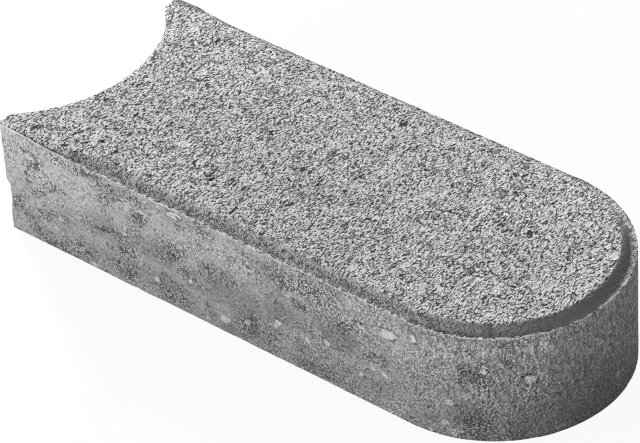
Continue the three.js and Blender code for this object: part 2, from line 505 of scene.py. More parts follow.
# %% Relief of the pressed top
GRAIN_SIZE, GRAIN_HIGH, GRAIN_LEAST = np.array([2.2, 2.8, 2.5]), 0.30, 0.45
PIT_SIZE, PIT_FROM, PIT_SOFT, PIT_DEEP = np.array([2.0, 3.2, 3.0]), 0.56, 0.26, 0.6
HORN_CALM, HORN_CALM_EDGE = 0.7, (6, 2)       # the worn horns have fewer pits near their edge
WAVE_MM, WAVE_HIGH = 28.0, 0.18
SETTLED = 0.15                                # the mean of the grains, so the height stays
EDGE_WORN = 0.35
NICK_ANGLE, NICK_DEEP, NICK_WIDE = -52.5, 0.4, (1.6, 0.2)
NICK_WANDER, NICK_WANDER_MM = 0.8, 2.0
NICK_OUT, NICK_IN = (-8.0, -6.5), (2.5, 0.5)
BAND_RELIEF = 0.6                             # share of the relief that is left on the step

distance, value = pebble_noise(points, GRAIN_SIZE, 11)
grains = GRAIN_HIGH * (GRAIN_LEAST + (1 - GRAIN_LEAST) * value) * (1 - np.minimum(distance, 1) ** 2)
pits = -PIT_DEEP * smooth_step(PIT_FROM, PIT_FROM + PIT_SOFT, layered_noise(points, PIT_SIZE, 2, 23))
pits *= 1 - HORN_CALM * horn_near * smooth_step(*HORN_CALM_EDGE, from_edge)
waves = WAVE_HIGH * layered_noise(points, WAVE_MM, 3, 31)
nick_wander = NICK_WANDER * layered_noise(points, NICK_WANDER_MM, 2, 103)
nick_away = np.abs(np.radians(nose_angle - NICK_ANGLE) * crown_radius + nick_wander)
nick = smooth_step(*NICK_WIDE, nick_away)
nick *= smooth_step(*NICK_OUT, from_edge) * smooth_step(*NICK_IN, from_edge)
worn_edge = -EDGE_WORN * smooth_step(fringe_width, 0.0, from_edge + HORN_PULL * horn_near)
crown_relief = grains + pits + waves - SETTLED + worn_edge - NICK_DEEP * nick
crown_relief *= BAND_RELIEF + (1 - BAND_RELIEF) * is_crown
top_relief = crown_relief[:top_count]
print(f"relief of the top from {top_relief.min():.2f} to {top_relief.max():.2f} mm")

# %% [markdown]
# The walls slid up along steel, so they wave only gently. Where the dry mix did not close they
# have torn crevices and round pocks, and one corner at the foot of the front horn is broken off.
# Crevices follow the zero line of soft noise, which wanders and branches as a real crack does.
# A Boolean cut would be cleaner for the corner, but a broken one is not clean.

# %% Relief of the walls
WALL_WAVE_MM, WALL_WAVE_HIGH = 35.0, 0.25
WALL_ROUGH_MM, WALL_ROUGH_HIGH = 4.0, 0.10
CREVICE_SIZE, CREVICE_WIDE, CREVICE_DEEP = np.array([9.0, 9.0, 6.0]), 0.07, 0.55
CREVICE_ZONE_MM, CREVICE_ZONE = 22.0, (-0.05, 0.35)
POCK_MM, POCK_EDGE, POCK_DEEP, POCK_CHANCE = 7.0, (0.22, 0.08), 0.5, 0.6
CHIP_REACH, CHIP_DEEP, CHIP_TOP = (4.5, 0.5), 1.8, (29.0, 23.0)
CHIP_WANDER, CHIP_WANDER_MM = 0.8, 3.0
CHIP_FOOT, FOOT_LESS = (16.0, 8.0), 0.5        # the broken corner gets shallower at its foot

crevice_line = np.abs(layered_noise(points, CREVICE_SIZE, 3, 53))
crevices = -CREVICE_DEEP * smooth_step(CREVICE_WIDE, 0.0, crevice_line)
crevices *= smooth_step(*CREVICE_ZONE, layered_noise(points, CREVICE_ZONE_MM, 2, 59))
distance, value = pebble_noise(points, POCK_MM, 61)
pocks = -POCK_DEEP * smooth_step(*POCK_EDGE, distance) * (value > POCK_CHANCE)
from_horn = np.hypot(x - hollow_end, y + WIDTH / 2)
from_horn += CHIP_WANDER * layered_noise(points, CHIP_WANDER_MM, 2, 101)
chip = -CHIP_DEEP * smooth_step(*CHIP_REACH, from_horn)
chip *= smooth_step(*CHIP_TOP, z) * (1 - FOOT_LESS * smooth_step(*CHIP_FOOT, z))
wall_relief = WALL_WAVE_HIGH * layered_noise(points, WALL_WAVE_MM, 3, 41)
wall_relief += WALL_ROUGH_HIGH * layered_noise(points, WALL_ROUGH_MM, 2, 47)
wall_relief += crevices + pocks + chip
print(f"deepest crevice {crevices.min():.2f} mm, broken corner {chip.min():.2f} mm")

# %% [markdown]
# Now every point is moved once, along its own direction. The bed keeps little of the relief,
# because it has to lie flat. Last comes the burr, a wisp of paste that stands up along the top
# edge in pieces: it is lifted straight up, since along the surface it would spread sideways.

# %% Move the points
BED_CALM = 0.85
BURR_RISE = 0.45
BURR_SIZE, BURR_PIECES = np.array([5.0, 5.0, 40.0]), (-0.35, 0.5)
BURR_FROM = (2, 12)      # from the hollow end

relief = crown_relief * is_top + wall_relief * (1 - is_top)
relief *= 1 - BED_CALM * is_bed
burr = BURR_RISE * smooth_step(*BURR_PIECES, layered_noise(points, BURR_SIZE, 3, 71))
burr *= smooth_step(*BURR_FROM, x - hollow_end)
points = points + normals * relief[:, None]
burr_ring = slice(ring_starts[-2], ring_starts[-1])
points[burr_ring, 2] += burr[burr_ring]
points[:, 2] = np.maximum(points[:, 2], 0)
print(f"relief from {relief.min():.2f} to {relief.max():.2f} mm")

# %% [markdown]
# The front wall of the real stone is not evenly rough. In places the paste is thin and the grit
# shows, and in places damp or rust of the mould left a stain. Noise alone would scatter such
# patches anywhere, so they are listed as ellipses on the unrolled wall: distance along it
# from the front horn, height, half length, half height (all in millimetres), and tilt in degrees.
# Noise then bends their outlines. They are worked out per point, because a patch is much larger
# than the mesh's faces and a material with so many nodes would be slow or fail.

# %% Gritty and stained places of the wall
GRITTY = [
    (50, 53, 26, 2.6, 0), (20, 46, 5, 5, 25), (67, 47.5, 9, 2.5, 20), (86, 42, 8, 3.5, 30),
    (84, 53, 9, 3, 0), (105, 30, 7, 4.5, 40), (112, 22, 5, 4, 0), (76, 20, 6, 4.5, 0),
    (26, 19, 9, 3, 5), (12, 12.5, 8, 2.8, 0), (6, 17, 3.5, 3, -40), (74, 10, 9, 5, 0),
    (34, 3.5, 16, 3.5, 0), (53, 7, 7, 3.5, 0), (102, 7, 9, 6, 0), (123, 52.5, 7, 4, 0),
    (167, 48, 7, 7, 0), (146, 10, 7, 5.5, 0), (184, 50, 16, 6.5, 0), (268, 36, 8, 7.5, 0),
    (187, 6.5, 10, 4.5, 0), (241, 4, 3, 2, 0), (272, 8, 10, 6, 0), (132, 33, 11, 5, 0),
    (205, 38, 8, 3, 20)]
STAINS = [
    (141, 22, 20, 8, 0), (150, 18, 6, 8, 0), (135, 3, 6, 5, 0), (267, 36, 6, 6, 0),
    (62, 27, 16, 5, 0), (268, 12, 9, 9, 0), (168, 27, 12, 6, 0), (197, 31, 14, 6, 0),
    (90, 27, 14, 6, 0)]
FAINT_STAINS = [
    (40, 25, 12, 5, 0), (92, 54, 36, 5, 0), (44, 14, 18, 6, 0), (88, 12, 14, 6, 0),
    (8, 19, 8, 10, 0), (152, 17, 12, 13, 0), (160, 42, 10, 10, 0), (240, 55, 20, 4, 0)]
PALE_PATCHES = [
    (22, 38, 8, 8, 0), (295, 51, 9, 11, 0), (231, 44, 10, 5, 0), (231, 5, 10, 5, 0)]
FAINT_SHARE, PALE_SHARE = 0.5, 0.6
GRITTY_SOFT, STAIN_SOFT = 0.55, 0.5
WANDER, WANDER_MM = 6.0, 9.0
OFF_THE_WALL = 1000.0

nose_radius = WIDTH / 2
straight = LENGTH - nose_radius
nose_turning = np.arctan2(y, np.maximum(x - LENGTH / 2 + nose_radius, 1e-6)) + math.pi / 2
unrolled = np.where(y < 0, x - hollow_end, OFF_THE_WALL)
unrolled = np.where(x > LENGTH / 2 - nose_radius, straight + nose_radius * nose_turning, unrolled)
wander_ahead = WANDER * layered_noise(points, WANDER_MM, 3, 91)
wander_above = WANDER * layered_noise(points, WANDER_MM, 3, 97)


def soft_patches(patches, soft):
    """1 inside any of the patches and 0 outside, on the unrolled wall. Each is an ellipse with its
    own tilt, and the noise shifts its outline."""
    mask = np.zeros(len(points))
    for distance, height, half_length, half_height, tilt in patches:
        ahead, above = unrolled + wander_ahead - distance, z + wander_above - height
        turn = math.radians(tilt)
        along_axis = (ahead * math.cos(turn) + above * math.sin(turn)) / half_length
        across_axis = (above * math.cos(turn) - ahead * math.sin(turn)) / half_height
        mask = np.maximum(mask, smooth_step(1 + soft, 1 - soft, np.hypot(along_axis, across_axis)))
    return mask


gritty = soft_patches(GRITTY, GRITTY_SOFT)
faint = FAINT_SHARE * soft_patches(FAINT_STAINS, STAIN_SOFT)
stained = np.maximum(soft_patches(STAINS, STAIN_SOFT), faint)
stained -= PALE_SHARE * soft_patches(PALE_PATCHES, STAIN_SOFT)
print("gritty share of the points:", round(float(gritty.mean()), 3))

# %% [markdown]
# The arrays become one mesh. A loop that adds vertices one by one would take minutes, and
# foreach_set hands each whole array to Blender at once. The masks go along as attributes, one
# number per point, which a material can read by name.

# %% Stone object
GAP_SHADE_SHARE, RUBBED_AND_SHADED_SHARE = 0.85, 0.6


def make_mesh(name, points, quads, triangles):
    """A mesh object from points in millimetres and its two kinds of faces."""
    mesh = bpy.data.meshes.new(name)
    mesh.vertices.add(len(points))
    mesh.vertices.foreach_set("co", (points / 1000).astype(np.float32).ravel())
    corners = np.concatenate([quads.ravel(), triangles.ravel()])
    starts = np.concatenate([
        4 * np.arange(len(quads)), 4 * len(quads) + 3 * np.arange(len(triangles))])
    mesh.loops.add(len(corners))
    mesh.loops.foreach_set("vertex_index", corners.astype(np.int32))
    mesh.polygons.add(len(starts))
    mesh.polygons.foreach_set("loop_start", starts.astype(np.int32))
    mesh.update(calc_edges=True)
    mesh.validate()
    mesh.shade_smooth()
    made = bpy.data.objects.new(name, mesh)
    bpy.context.scene.collection.objects.link(made)
    return made


pressed_stone = make_mesh("pressed_kerb_stone", points, quads, triangles)
# The nick mask carries the nick and the gaps at the back, which the top's finish paints dark as
# painted shade in them.
masks = {"band": band, "rim": rim, "lee": lee, "nick": np.maximum(nick, GAP_SHADE_SHARE * back_shade_gap),
         "rubbed_and_shaded": RUBBED_AND_SHADED_SHARE * rubbed_and_shaded * band, "gritty": gritty, "stained": stained,
         "relief": relief}
for name, values in masks.items():
    layer = pressed_stone.data.attributes.new(name, "FLOAT", "POINT")
    layer.data.foreach_set("value", values.astype(np.float32))
print(f"stone object: {len(pressed_stone.data.polygons)} faces, {len(masks)} masks")

# %% [markdown]
# Materials are node graphs. They could be wired by hand in the shader editor, but a script says
# them again the same way every time. One helper adds a node, sets its options and fills its
# inputs, linking where it is given another node's output. Inputs are named, or numbered from 0:
# a Map Range has 1 and 2 for the range it reads and 3 and 4 for the range it gives, and a Mix has
# 0 for the share, 2 for what is there and 3 for what goes over it.
# Colours are written as sRGB hex and turned to the linear numbers that Blender works in. Concrete
# is a neutral grey, so a pattern here is one number from 0 to 1, which at the end becomes red,
# green and blue alike.

# %% Node helper and colours
SMOOTH = {"interpolation_type": "SMOOTHSTEP"}
FLOAT_MIX = {"data_type": "FLOAT"}
MULTIPLY, SUBTRACT, ABSOLUTE, LARGER, SMALLER, ABOVE, TIMES_PLUS, REACH = (
    {"operation": name} for name in (
        "MULTIPLY", "SUBTRACT", "ABSOLUTE", "MAXIMUM", "MINIMUM", "GREATER_THAN", "MULTIPLY_ADD",
        "LENGTH"))
CLEAR_OF = {"operation": "SUBTRACT", "use_clamp": True}
NOISE_MIDDLE = 0.5                               # a noise texture swings about this value
BUMP = {"Strength": 1.0, "Distance": 0.001}      # heights are in millimetres, Blender's in metres


def add_node(tree, kind, settings=None, inputs=None, output=0):
    """Adds a node and returns one of its outputs, or the node itself when output is None. Inputs
    are given by name or number, as a value or as another node's output."""
    made = tree.nodes.new(kind)
    for name, value in (settings or {}).items():
        setattr(made, name, value)
    for name, value in (inputs or {}).items():
        if isinstance(value, bpy.types.NodeSocket):
            tree.links.new(value, made.inputs[name])
        else:
            made.inputs[name].default_value = value
    return made if output is None else made.outputs[output]


def linear(hex_colour):
    """Linear red, green, blue and alpha from an sRGB hex colour."""
    channels = [int(hex_colour[at:at + 2], 16) / 255 for at in (1, 3, 5)]
    return [c / 12.92 if c <= 0.04045 else ((c + 0.055) / 1.055) ** 2.4 for c in channels] + [1.0]


def new_material(name):
    """An empty node material and its tree."""
    made = bpy.data.materials.new(name)
    made.use_nodes = True
    made.node_tree.nodes.clear()
    return made, made.node_tree


print("mid grey is", round(linear("#9a9a9a")[0], 3))

# %% [markdown]
# The pressed top is grey Portland-cement concrete, pressed from an earth-dry mix and left open.
# Its sand grains are all nearly one grey, so what the eye reads as speckle is mostly light and
# shade in the gaps between them: a quiet colour, deep gaps and no gloss at all.
# A tiled picture of concrete would repeat and could not follow the step, so the pattern is made
# from noise in object coordinates, which are in metres and are scaled to millimetres first. The
# shoe drags the grains a little, so they are stretched across the stone by a smaller scale there.

# %% Pressed top: places and masks
GRAIN_DRAG = 475     # instead of 1000, so each grain is about twice as long across the stone

face, tree = new_material("pressed_face_concrete")
place = add_node(tree, "ShaderNodeTexCoord", output=3)
in_mm = add_node(tree, "ShaderNodeMapping", {}, {"Vector": place, "Scale": (1000, GRAIN_DRAG, 1000)})
along_face, across_face = (
    add_node(tree, "ShaderNodeSeparateXYZ", {}, {"Vector": in_mm}, output=axis) for axis in (0, 1))
band_mask, rim_mask, relief_mm, lee_mask, nick_and_gap_shade, rubbed_and_shaded_mask = (
    add_node(tree, "ShaderNodeAttribute", {"attribute_name": name}, output=2)
    for name in ("band", "rim", "relief", "lee", "nick", "rubbed_and_shaded"))
print("pressed top: places and masks,", len(tree.nodes), "nodes")

# %% [markdown]
# Sand in such a mix goes from 0.1 to 2 mm. A pixel of the finished picture is about half a
# millimetre wide, so anything finer than that would blur to plain grey. The finest grit and
# grains are therefore drawn at 0.7 mm, as coarse as they need to be to show. Noise makes the grit,
# and cells round random points make the rounder grains with gaps between them.

# %% Pressed top: grit and grains
GRIT_MM, GRAIN_MM, LUMP_MM = 0.72, 0.7, 3.2
FLAT_LOW, FLAT_HIGH = 0.3, 0.48      # grit is level on top: noise above this is one height
EDGE_LOW, EDGE_HIGH = 0.5, 0.8       # a grain is flat to half a cell out, then falls away

grit = add_node(tree, "ShaderNodeTexNoise", {}, {
    "Vector": in_mm, "Scale": 1 / GRIT_MM, "Detail": 1.5, "Roughness": 0.6})
lumps = add_node(tree, "ShaderNodeTexNoise", {}, {
    "Vector": in_mm, "Scale": 1 / LUMP_MM, "Detail": 1.0, "Roughness": 0.5})
grain = add_node(tree, "ShaderNodeTexVoronoi", {}, {"Vector": in_mm, "Scale": 1 / GRAIN_MM})
grit_flat = add_node(tree, "ShaderNodeMapRange", SMOOTH, {0: grit, 1: FLAT_LOW, 2: FLAT_HIGH})
grain_fall = add_node(tree, "ShaderNodeMapRange", SMOOTH, {0: grain, 1: EDGE_LOW, 2: EDGE_HIGH})
print("pressed top: grit and grains,", len(tree.nodes), "nodes")

# %% [markdown]
# Among the sand lie a few pebbles of 3 mm with a bare top, hair cracks between clumps, and holes
# where the fill bridged. A pebble is the middle of a cell, and only cells whose random number is
# high enough get one. A crack is where noise crosses its middle value, a line that wanders and
# closes on itself. A hole is where another noise is very low.

# %% Pressed top: pebbles, cracks and holes
PEBBLE_CELL_MM, PEBBLE_CHANCE = 5.5, 0.75
PEBBLE_OUT, PEBBLE_IN = 0.36, 0.26       # its soft edge, as a share of the cell
CRACK_MM, CRACK_WIDE = 5.0, 0.024
CRACK_LUMP, CRACK_DIP = 0.58, 0.5        # cracks only between the lumps
HOLE_MM, HOLE_FROM, HOLE_SOFT = 2.9, 0.32, 0.03

cells = add_node(tree, "ShaderNodeTexVoronoi", {}, {
    "Vector": in_mm, "Scale": 1 / PEBBLE_CELL_MM}, output=None).outputs
pebble = add_node(tree, "ShaderNodeMapRange", SMOOTH, {
    0: cells["Distance"], 1: PEBBLE_OUT, 2: PEBBLE_IN})
picked = add_node(tree, "ShaderNodeMath", ABOVE, {0: cells["Color"], 1: PEBBLE_CHANCE})
pebble = add_node(tree, "ShaderNodeMath", MULTIPLY, {0: pebble, 1: picked})

crack_noise = add_node(tree, "ShaderNodeTexNoise", {}, {
    "Vector": in_mm, "Scale": 1 / CRACK_MM, "Detail": 2.0, "Roughness": 0.55})
crack_line = add_node(tree, "ShaderNodeMath", SUBTRACT, {0: crack_noise, 1: NOISE_MIDDLE})
crack_line = add_node(tree, "ShaderNodeMath", ABSOLUTE, {0: crack_line})
crack = add_node(tree, "ShaderNodeMapRange", SMOOTH, {0: crack_line, 1: CRACK_WIDE, 2: 0.0})
crack_zone = add_node(tree, "ShaderNodeMapRange", SMOOTH, {
    0: lumps, 1: CRACK_LUMP, 2: CRACK_DIP})
crack = add_node(tree, "ShaderNodeMath", MULTIPLY, {0: crack, 1: crack_zone})

hole_noise = add_node(tree, "ShaderNodeTexNoise", {}, {
    "Vector": in_mm, "Scale": 1 / HOLE_MM, "Detail": 1.5, "Roughness": 0.5})
hole = add_node(tree, "ShaderNodeMapRange", SMOOTH, {
    0: hole_noise, 1: HOLE_FROM, 2: HOLE_FROM - HOLE_SOFT})
print("pressed top: pebbles, cracks and holes,", len(tree.nodes), "nodes")

# %% [markdown]
# Each of these patterns is now given a height in millimetres, and all are added up into one bump.
# Real displacement of grains this small would need millions of faces. The bump is nearly still
# where the shoe has rubbed the step smooth, and a little stronger in the frayed band.

# %% Pressed top: heights
GRIT_RISE, GRAIN_RISE, LUMP_RISE = 0.45, 0.26, 0.1
PEBBLE_RISE = 0.3
CRACK_DEEP, HOLE_DEEP = 0.5, 1.1
BAND_RISE, RUBBED_RISE = 1.1, 0.15

grit_rise = add_node(tree, "ShaderNodeMapRange", {}, {0: pebble, 3: GRIT_RISE, 4: PEBBLE_RISE})
grain_rise = add_node(tree, "ShaderNodeMapRange", {}, {0: pebble, 3: -GRAIN_RISE, 4: -PEBBLE_RISE})
height = 0.0
for pattern, rise in ((grit_flat, grit_rise), (lumps, LUMP_RISE), (grain_fall, grain_rise),
                      (crack, -CRACK_DEEP), (hole, -HOLE_DEEP)):
    height = add_node(tree, "ShaderNodeMath", TIMES_PLUS, {0: pattern, 1: rise, 2: height})
shaded_band = add_node(tree, "ShaderNodeMath", MULTIPLY, {0: lee_mask, 1: band_mask})
rubbed = add_node(tree, "ShaderNodeMath", LARGER, {0: shaded_band, 1: rubbed_and_shaded_mask})
band_rise = add_node(tree, "ShaderNodeMapRange", {}, {0: band_mask, 3: 1.0, 4: BAND_RISE})
still = add_node(tree, "ShaderNodeMapRange", {}, {0: rubbed, 3: 1.0, 4: RUBBED_RISE})
for share in (band_rise, still):
    height = add_node(tree, "ShaderNodeMath", MULTIPLY, {0: height, 1: share})
bump = add_node(tree, "ShaderNodeBump", {}, {**BUMP, "Height": height})
print("pressed top: heights,", len(tree.nodes), "nodes")

# %% [markdown]
# The colour follows the same patterns, so that a gap is painted dark as well as made deep: light
# grit, nearly black gaps, mid-grey pebbles and dark cracks. The dark in the low grit, the gaps, the
# mesh's pits, the cracks and the holes is painted shade, which bump cannot cast. The eye then sees
# crisp, salty grains even where they are too small for the light to model them. Wide, faint
# patches keep the face from looking printed, and it is a little lighter towards both ends and the
# back.

# %% Pressed top: colour of the crown
GRIT_LOW, GRIT_HIGH = 0.35, 0.47
GRIT_DARK, GRIT_LIGHT = linear("#868686")[0], linear("#dadada")[0]
GAP_LOW, GAP_HIGH, GAP_SHARE = 0.5, 0.76, 0.05     # how much light is left in a gap
SUNK_FROM, SUNK_TO, SUNK_SHARE = -0.1, -0.7, 0.9   # the same in the mesh's own pits, in mm
# Cracks and holes are painted dark as painted shade in them.
PEBBLE_TONE, CRACK_TONE, HOLE_TONE = (linear(grey)[0] for grey in ("#d4d4d4", "#616161", "#303030"))
CLOUD_LOW, CLOUD_HIGH = 0.3, 0.7                   # wide noise seldom leaves this range
PATCH_MM, PATCH_DARK, PATCH_LIGHT = 7.0, 0.95, 1.05
MIDDLE_SHARE, END_SHARE, BACK_SHARE = 1.02, 1.15, 1.13
BACK_FROM = -5.0                                   # in the dragged millimetres of in_mm

tone = add_node(tree, "ShaderNodeMapRange", SMOOTH, {
    0: grit, 1: GRIT_LOW, 2: GRIT_HIGH, 3: GRIT_DARK, 4: GRIT_LIGHT})
gap_share = add_node(tree, "ShaderNodeMapRange", SMOOTH, {
    0: grain, 1: GAP_LOW, 2: GAP_HIGH, 3: 1.0, 4: GAP_SHARE})
sunk_share = add_node(tree, "ShaderNodeMapRange", SMOOTH, {
    0: relief_mm, 1: SUNK_TO, 2: SUNK_FROM, 3: SUNK_SHARE, 4: 1.0})
for share in (sunk_share, gap_share):
    tone = add_node(tree, "ShaderNodeMath", MULTIPLY, {0: tone, 1: share})
for mask, grey in ((pebble, PEBBLE_TONE), (crack, CRACK_TONE), (hole, HOLE_TONE)):
    tone = add_node(tree, "ShaderNodeMix", FLOAT_MIX, {0: mask, 2: tone, 3: grey})

patches = add_node(tree, "ShaderNodeTexNoise", {}, {
    "Vector": in_mm, "Scale": 1 / PATCH_MM, "Detail": 1.0, "Roughness": 0.5})
patch_share = add_node(tree, "ShaderNodeMapRange", SMOOTH, {
    0: patches, 1: CLOUD_LOW, 2: CLOUD_HIGH, 3: PATCH_DARK, 4: PATCH_LIGHT})
from_middle = add_node(tree, "ShaderNodeMath", ABSOLUTE, {0: along_face})
end_share = add_node(tree, "ShaderNodeMapRange", {}, {
    0: from_middle, 1: 0.0, 2: LENGTH / 2, 3: MIDDLE_SHARE, 4: END_SHARE})
back_share = add_node(tree, "ShaderNodeMapRange", {}, {
    0: across_face, 1: BACK_FROM, 2: GRAIN_DRAG / 1000 * WIDTH / 2, 3: 1.0, 4: BACK_SHARE})
for share in (patch_share, end_share, back_share):
    tone = add_node(tree, "ShaderNodeMath", MULTIPLY, {0: tone, 1: share})
print("pressed top: colour of the crown,", len(tree.nodes), "nodes")

# %% [markdown]
# On the step the grains are painted darker and closer in tone, as painted shade of the grazing
# light there, and where the shoe rubbed it, it is painted one even dark grey of painted shade. The
# burr along the edge is a paler lip of paste, painted lighter still as a painted highlight where it
# catches the light, in a broken line. These are painted over the crown's tone by the masks that the
# mesh carries. A second material would leave a hard border where the real change is gradual.
# Dry concrete has a typical IOR of 1.5 and scatters light almost evenly, so its roughness is high.

# %% Pressed top: colour of the step, and the finish
# The step's greys, darker than the crown's, are painted shade.
BAND_DARK, BAND_LIGHT = linear("#595959")[0], linear("#b5b5b5")[0]
# The first grey is painted shade on the nose's lee side and rubbed step; the second is painted shade
# in the nick and the gaps at the back.
LEE_SHADE_TONE, NICK_SHADE_TONE = linear("#898989")[0], linear("#7c7c7c")[0]
RUBBED_SHADE_SHARE = 0.7
# The burr is a paler lip of paste, painted lighter still as a painted highlight, lightest round the
# nose where the key light strikes it.
RIM_DARK, RIM_HIGHLIGHT, RIM_HIGHLIGHT_NOSE = (linear(grey)[0] for grey in ("#616161", "#e7e7e7", "#ffffff"))
RIM_PIECE_MM, RIM_GAP, RIM_WHOLE = 2.6, 0.46, 0.54
NOSE_RIM_FROM, NOSE_RIM_TO = 90.0, 130.0           # x where the burr gets lighter, in mm
CONCRETE = {"Metallic": 0.0, "IOR": 1.5}
TOP_ROUGHNESS = 0.93

band_tone = add_node(tree, "ShaderNodeMapRange", {}, {
    0: tone, 1: 0.0, 2: GRIT_LIGHT, 3: BAND_DARK, 4: BAND_LIGHT})
band_tone = add_node(tree, "ShaderNodeMix", FLOAT_MIX, {0: shaded_band, 2: band_tone, 3: LEE_SHADE_TONE})
rubbed_shade_paint = add_node(tree, "ShaderNodeMath", MULTIPLY, {0: rubbed_and_shaded_mask, 1: RUBBED_SHADE_SHARE})
rim_pieces = add_node(tree, "ShaderNodeTexNoise", {}, {
    "Vector": in_mm, "Scale": 1 / RIM_PIECE_MM, "Detail": 2.0, "Roughness": 0.7})
rim_highlight = add_node(tree, "ShaderNodeMapRange", {}, {
    0: along_face, 1: NOSE_RIM_FROM, 2: NOSE_RIM_TO, 3: RIM_HIGHLIGHT, 4: RIM_HIGHLIGHT_NOSE})
rim_tone = add_node(tree, "ShaderNodeMapRange", SMOOTH, {
    0: rim_pieces, 1: RIM_GAP, 2: RIM_WHOLE, 3: RIM_DARK, 4: rim_highlight})
for mask, grey in ((band_mask, band_tone), (rubbed_shade_paint, LEE_SHADE_TONE), (nick_and_gap_shade, NICK_SHADE_TONE),
                   (rim_mask, rim_tone)):
    tone = add_node(tree, "ShaderNodeMix", FLOAT_MIX, {0: mask, 2: tone, 3: grey})

colour = add_node(tree, "ShaderNodeCombineColor", {}, {0: tone, 1: tone, 2: tone})
surface = add_node(tree, "ShaderNodeBsdfPrincipled", {}, {
    "Base Color": colour, "Roughness": TOP_ROUGHNESS, "Normal": bump, **CONCRETE})
add_node(tree, "ShaderNodeOutputMaterial", {}, {"Surface": surface}, output=None)
print("pressed top:", len(tree.nodes), "nodes")

# %% [markdown]
# The walls are the same concrete, but moulded against steel: a thin skin of cement paste, cloudy
# from damp and mould oil, gritty where the paste did not reach. What that gives the eye is soft
# clouds of two greys with sharp dark pores and a few light flakes in them.
# Clouds could be one noise, but then colour and roughness would change at the same places. So one
# noise stains the skin and another says where it is rough. Both are stretched along the wall, the
# way the mix was dragged into the mould. The smoother zones are rougher round the nose than on the
# side.
# Real pores are 0.1 to 0.3 mm. They are drawn at about 1 mm, because finer ones would not show.

# %% Walls: clouds, grit and grains
CLOUD_MM, WALL_GRIT_MM, WALL_GRAIN_MM, WALL_LUMP_MM = 13.0, 0.9, 1.2, 3.5
SLIDE = {"Scale": (0.6, 0.8, 1.0), "Rotation": (0, 0.12, 0)}
ROUGH_LOW, ROUGH_HIGH = 0.4, 0.66
CALM_SIDE, CALM_NOSE, CALM_LEE = 0.2, 0.45, 0.8    # roughness left in the smooth zones
SIDE_TO, NOSE_FROM = -20.0, 50.0                   # x where side turns to nose, in mm

walls, tree = new_material("moulded_wall_concrete")
place = add_node(tree, "ShaderNodeTexCoord", output=3)
in_mm = add_node(tree, "ShaderNodeMapping", {}, {"Vector": place, "Scale": (1000, 1000, 1000)})
along_wall, up_wall = (
    add_node(tree, "ShaderNodeSeparateXYZ", {}, {"Vector": in_mm}, output=axis) for axis in (0, 2))
rim_mask, lee_mask, gritty_mask, stained_mask = (
    add_node(tree, "ShaderNodeAttribute", {"attribute_name": name}, output=2)
    for name in ("rim", "lee", "gritty", "stained"))
slid = add_node(tree, "ShaderNodeMapping", {}, {"Vector": in_mm, **SLIDE})
stain = add_node(tree, "ShaderNodeTexNoise", {}, {
    "Vector": slid, "Scale": 1 / CLOUD_MM, "Detail": 3.0, "Roughness": 0.5})
zone = add_node(tree, "ShaderNodeTexNoise", {}, {
    "Vector": slid, "Scale": 1 / CLOUD_MM, "Detail": 4.0, "Roughness": 0.62})
wall_grit = add_node(tree, "ShaderNodeTexNoise", {}, {
    "Vector": in_mm, "Scale": 1 / WALL_GRIT_MM, "Detail": 2.0, "Roughness": 0.65})
wall_grain = add_node(tree, "ShaderNodeTexVoronoi", {}, {
    "Vector": in_mm, "Scale": 1 / WALL_GRAIN_MM}, output=None).outputs
wall_lumps = add_node(tree, "ShaderNodeTexNoise", {}, {
    "Vector": in_mm, "Scale": 1 / WALL_LUMP_MM, "Detail": 1.0, "Roughness": 0.6})
rough = add_node(tree, "ShaderNodeMapRange", SMOOTH, {0: zone, 1: ROUGH_LOW, 2: ROUGH_HIGH})
calm_least = add_node(tree, "ShaderNodeMapRange", SMOOTH, {
    0: along_wall, 1: SIDE_TO, 2: NOSE_FROM, 3: CALM_SIDE, 4: CALM_NOSE})
still = add_node(tree, "ShaderNodeMapRange", {}, {0: lee_mask, 3: 1.0, 4: CALM_LEE})
rough_share = add_node(tree, "ShaderNodeMapRange", {}, {0: rough, 3: calm_least, 4: 1.0})
rough_share = add_node(tree, "ShaderNodeMath", MULTIPLY, {0: rough_share, 1: still})
print("walls: clouds, grit and grains,", len(tree.nodes), "nodes")

# %% [markdown]
# A mould face has three kinds of small fault. Air leaves round pinholes. Paste that tore off with
# the mould leaves short rows of crumbs, and where it was drawn out it leaves pale smears.
# Round cells would make perfect circles, so the place that they read is first pushed about by a
# smaller noise, which makes each outline crooked. A row of crumbs is a line where noise crosses
# its middle, kept only where the grit is low, so that it breaks into crumbs.

# %% Walls: pinholes, crumbs and smears
PIN_MM, PIN_CHANCE, PIN_BEND_MM, PIN_BEND = 2.2, 0.6, 1.6, 1.2
PIN_OUT, PIN_IN = 0.26, 0.16
CRUMB_MM, CRUMB_WIDE, CRUMB_CORE, CRUMB_ZONE = 6.0, 0.08, 0.2, 0.43
LOW_GRIT, LOW_SOFT = 0.485, 0.025
SMEAR_FROM, ZONE_SOFT = 0.64, 0.06

push = add_node(tree, "ShaderNodeTexNoise", {}, {
    "Vector": in_mm, "Scale": 1 / PIN_BEND_MM, "Detail": 1.0}, output=1)
bent = add_node(tree, "ShaderNodeVectorMath", TIMES_PLUS, {0: push, 1: (PIN_BEND,) * 3, 2: in_mm})
cells = add_node(tree, "ShaderNodeTexVoronoi", {}, {
    "Vector": bent, "Scale": 1 / PIN_MM}, output=None).outputs
pinhole = add_node(tree, "ShaderNodeMapRange", SMOOTH, {0: cells["Distance"], 1: PIN_OUT, 2: PIN_IN})
picked = add_node(tree, "ShaderNodeMath", ABOVE, {0: cells["Color"], 1: PIN_CHANCE})
for share in (picked, still):
    pinhole = add_node(tree, "ShaderNodeMath", MULTIPLY, {0: pinhole, 1: share})

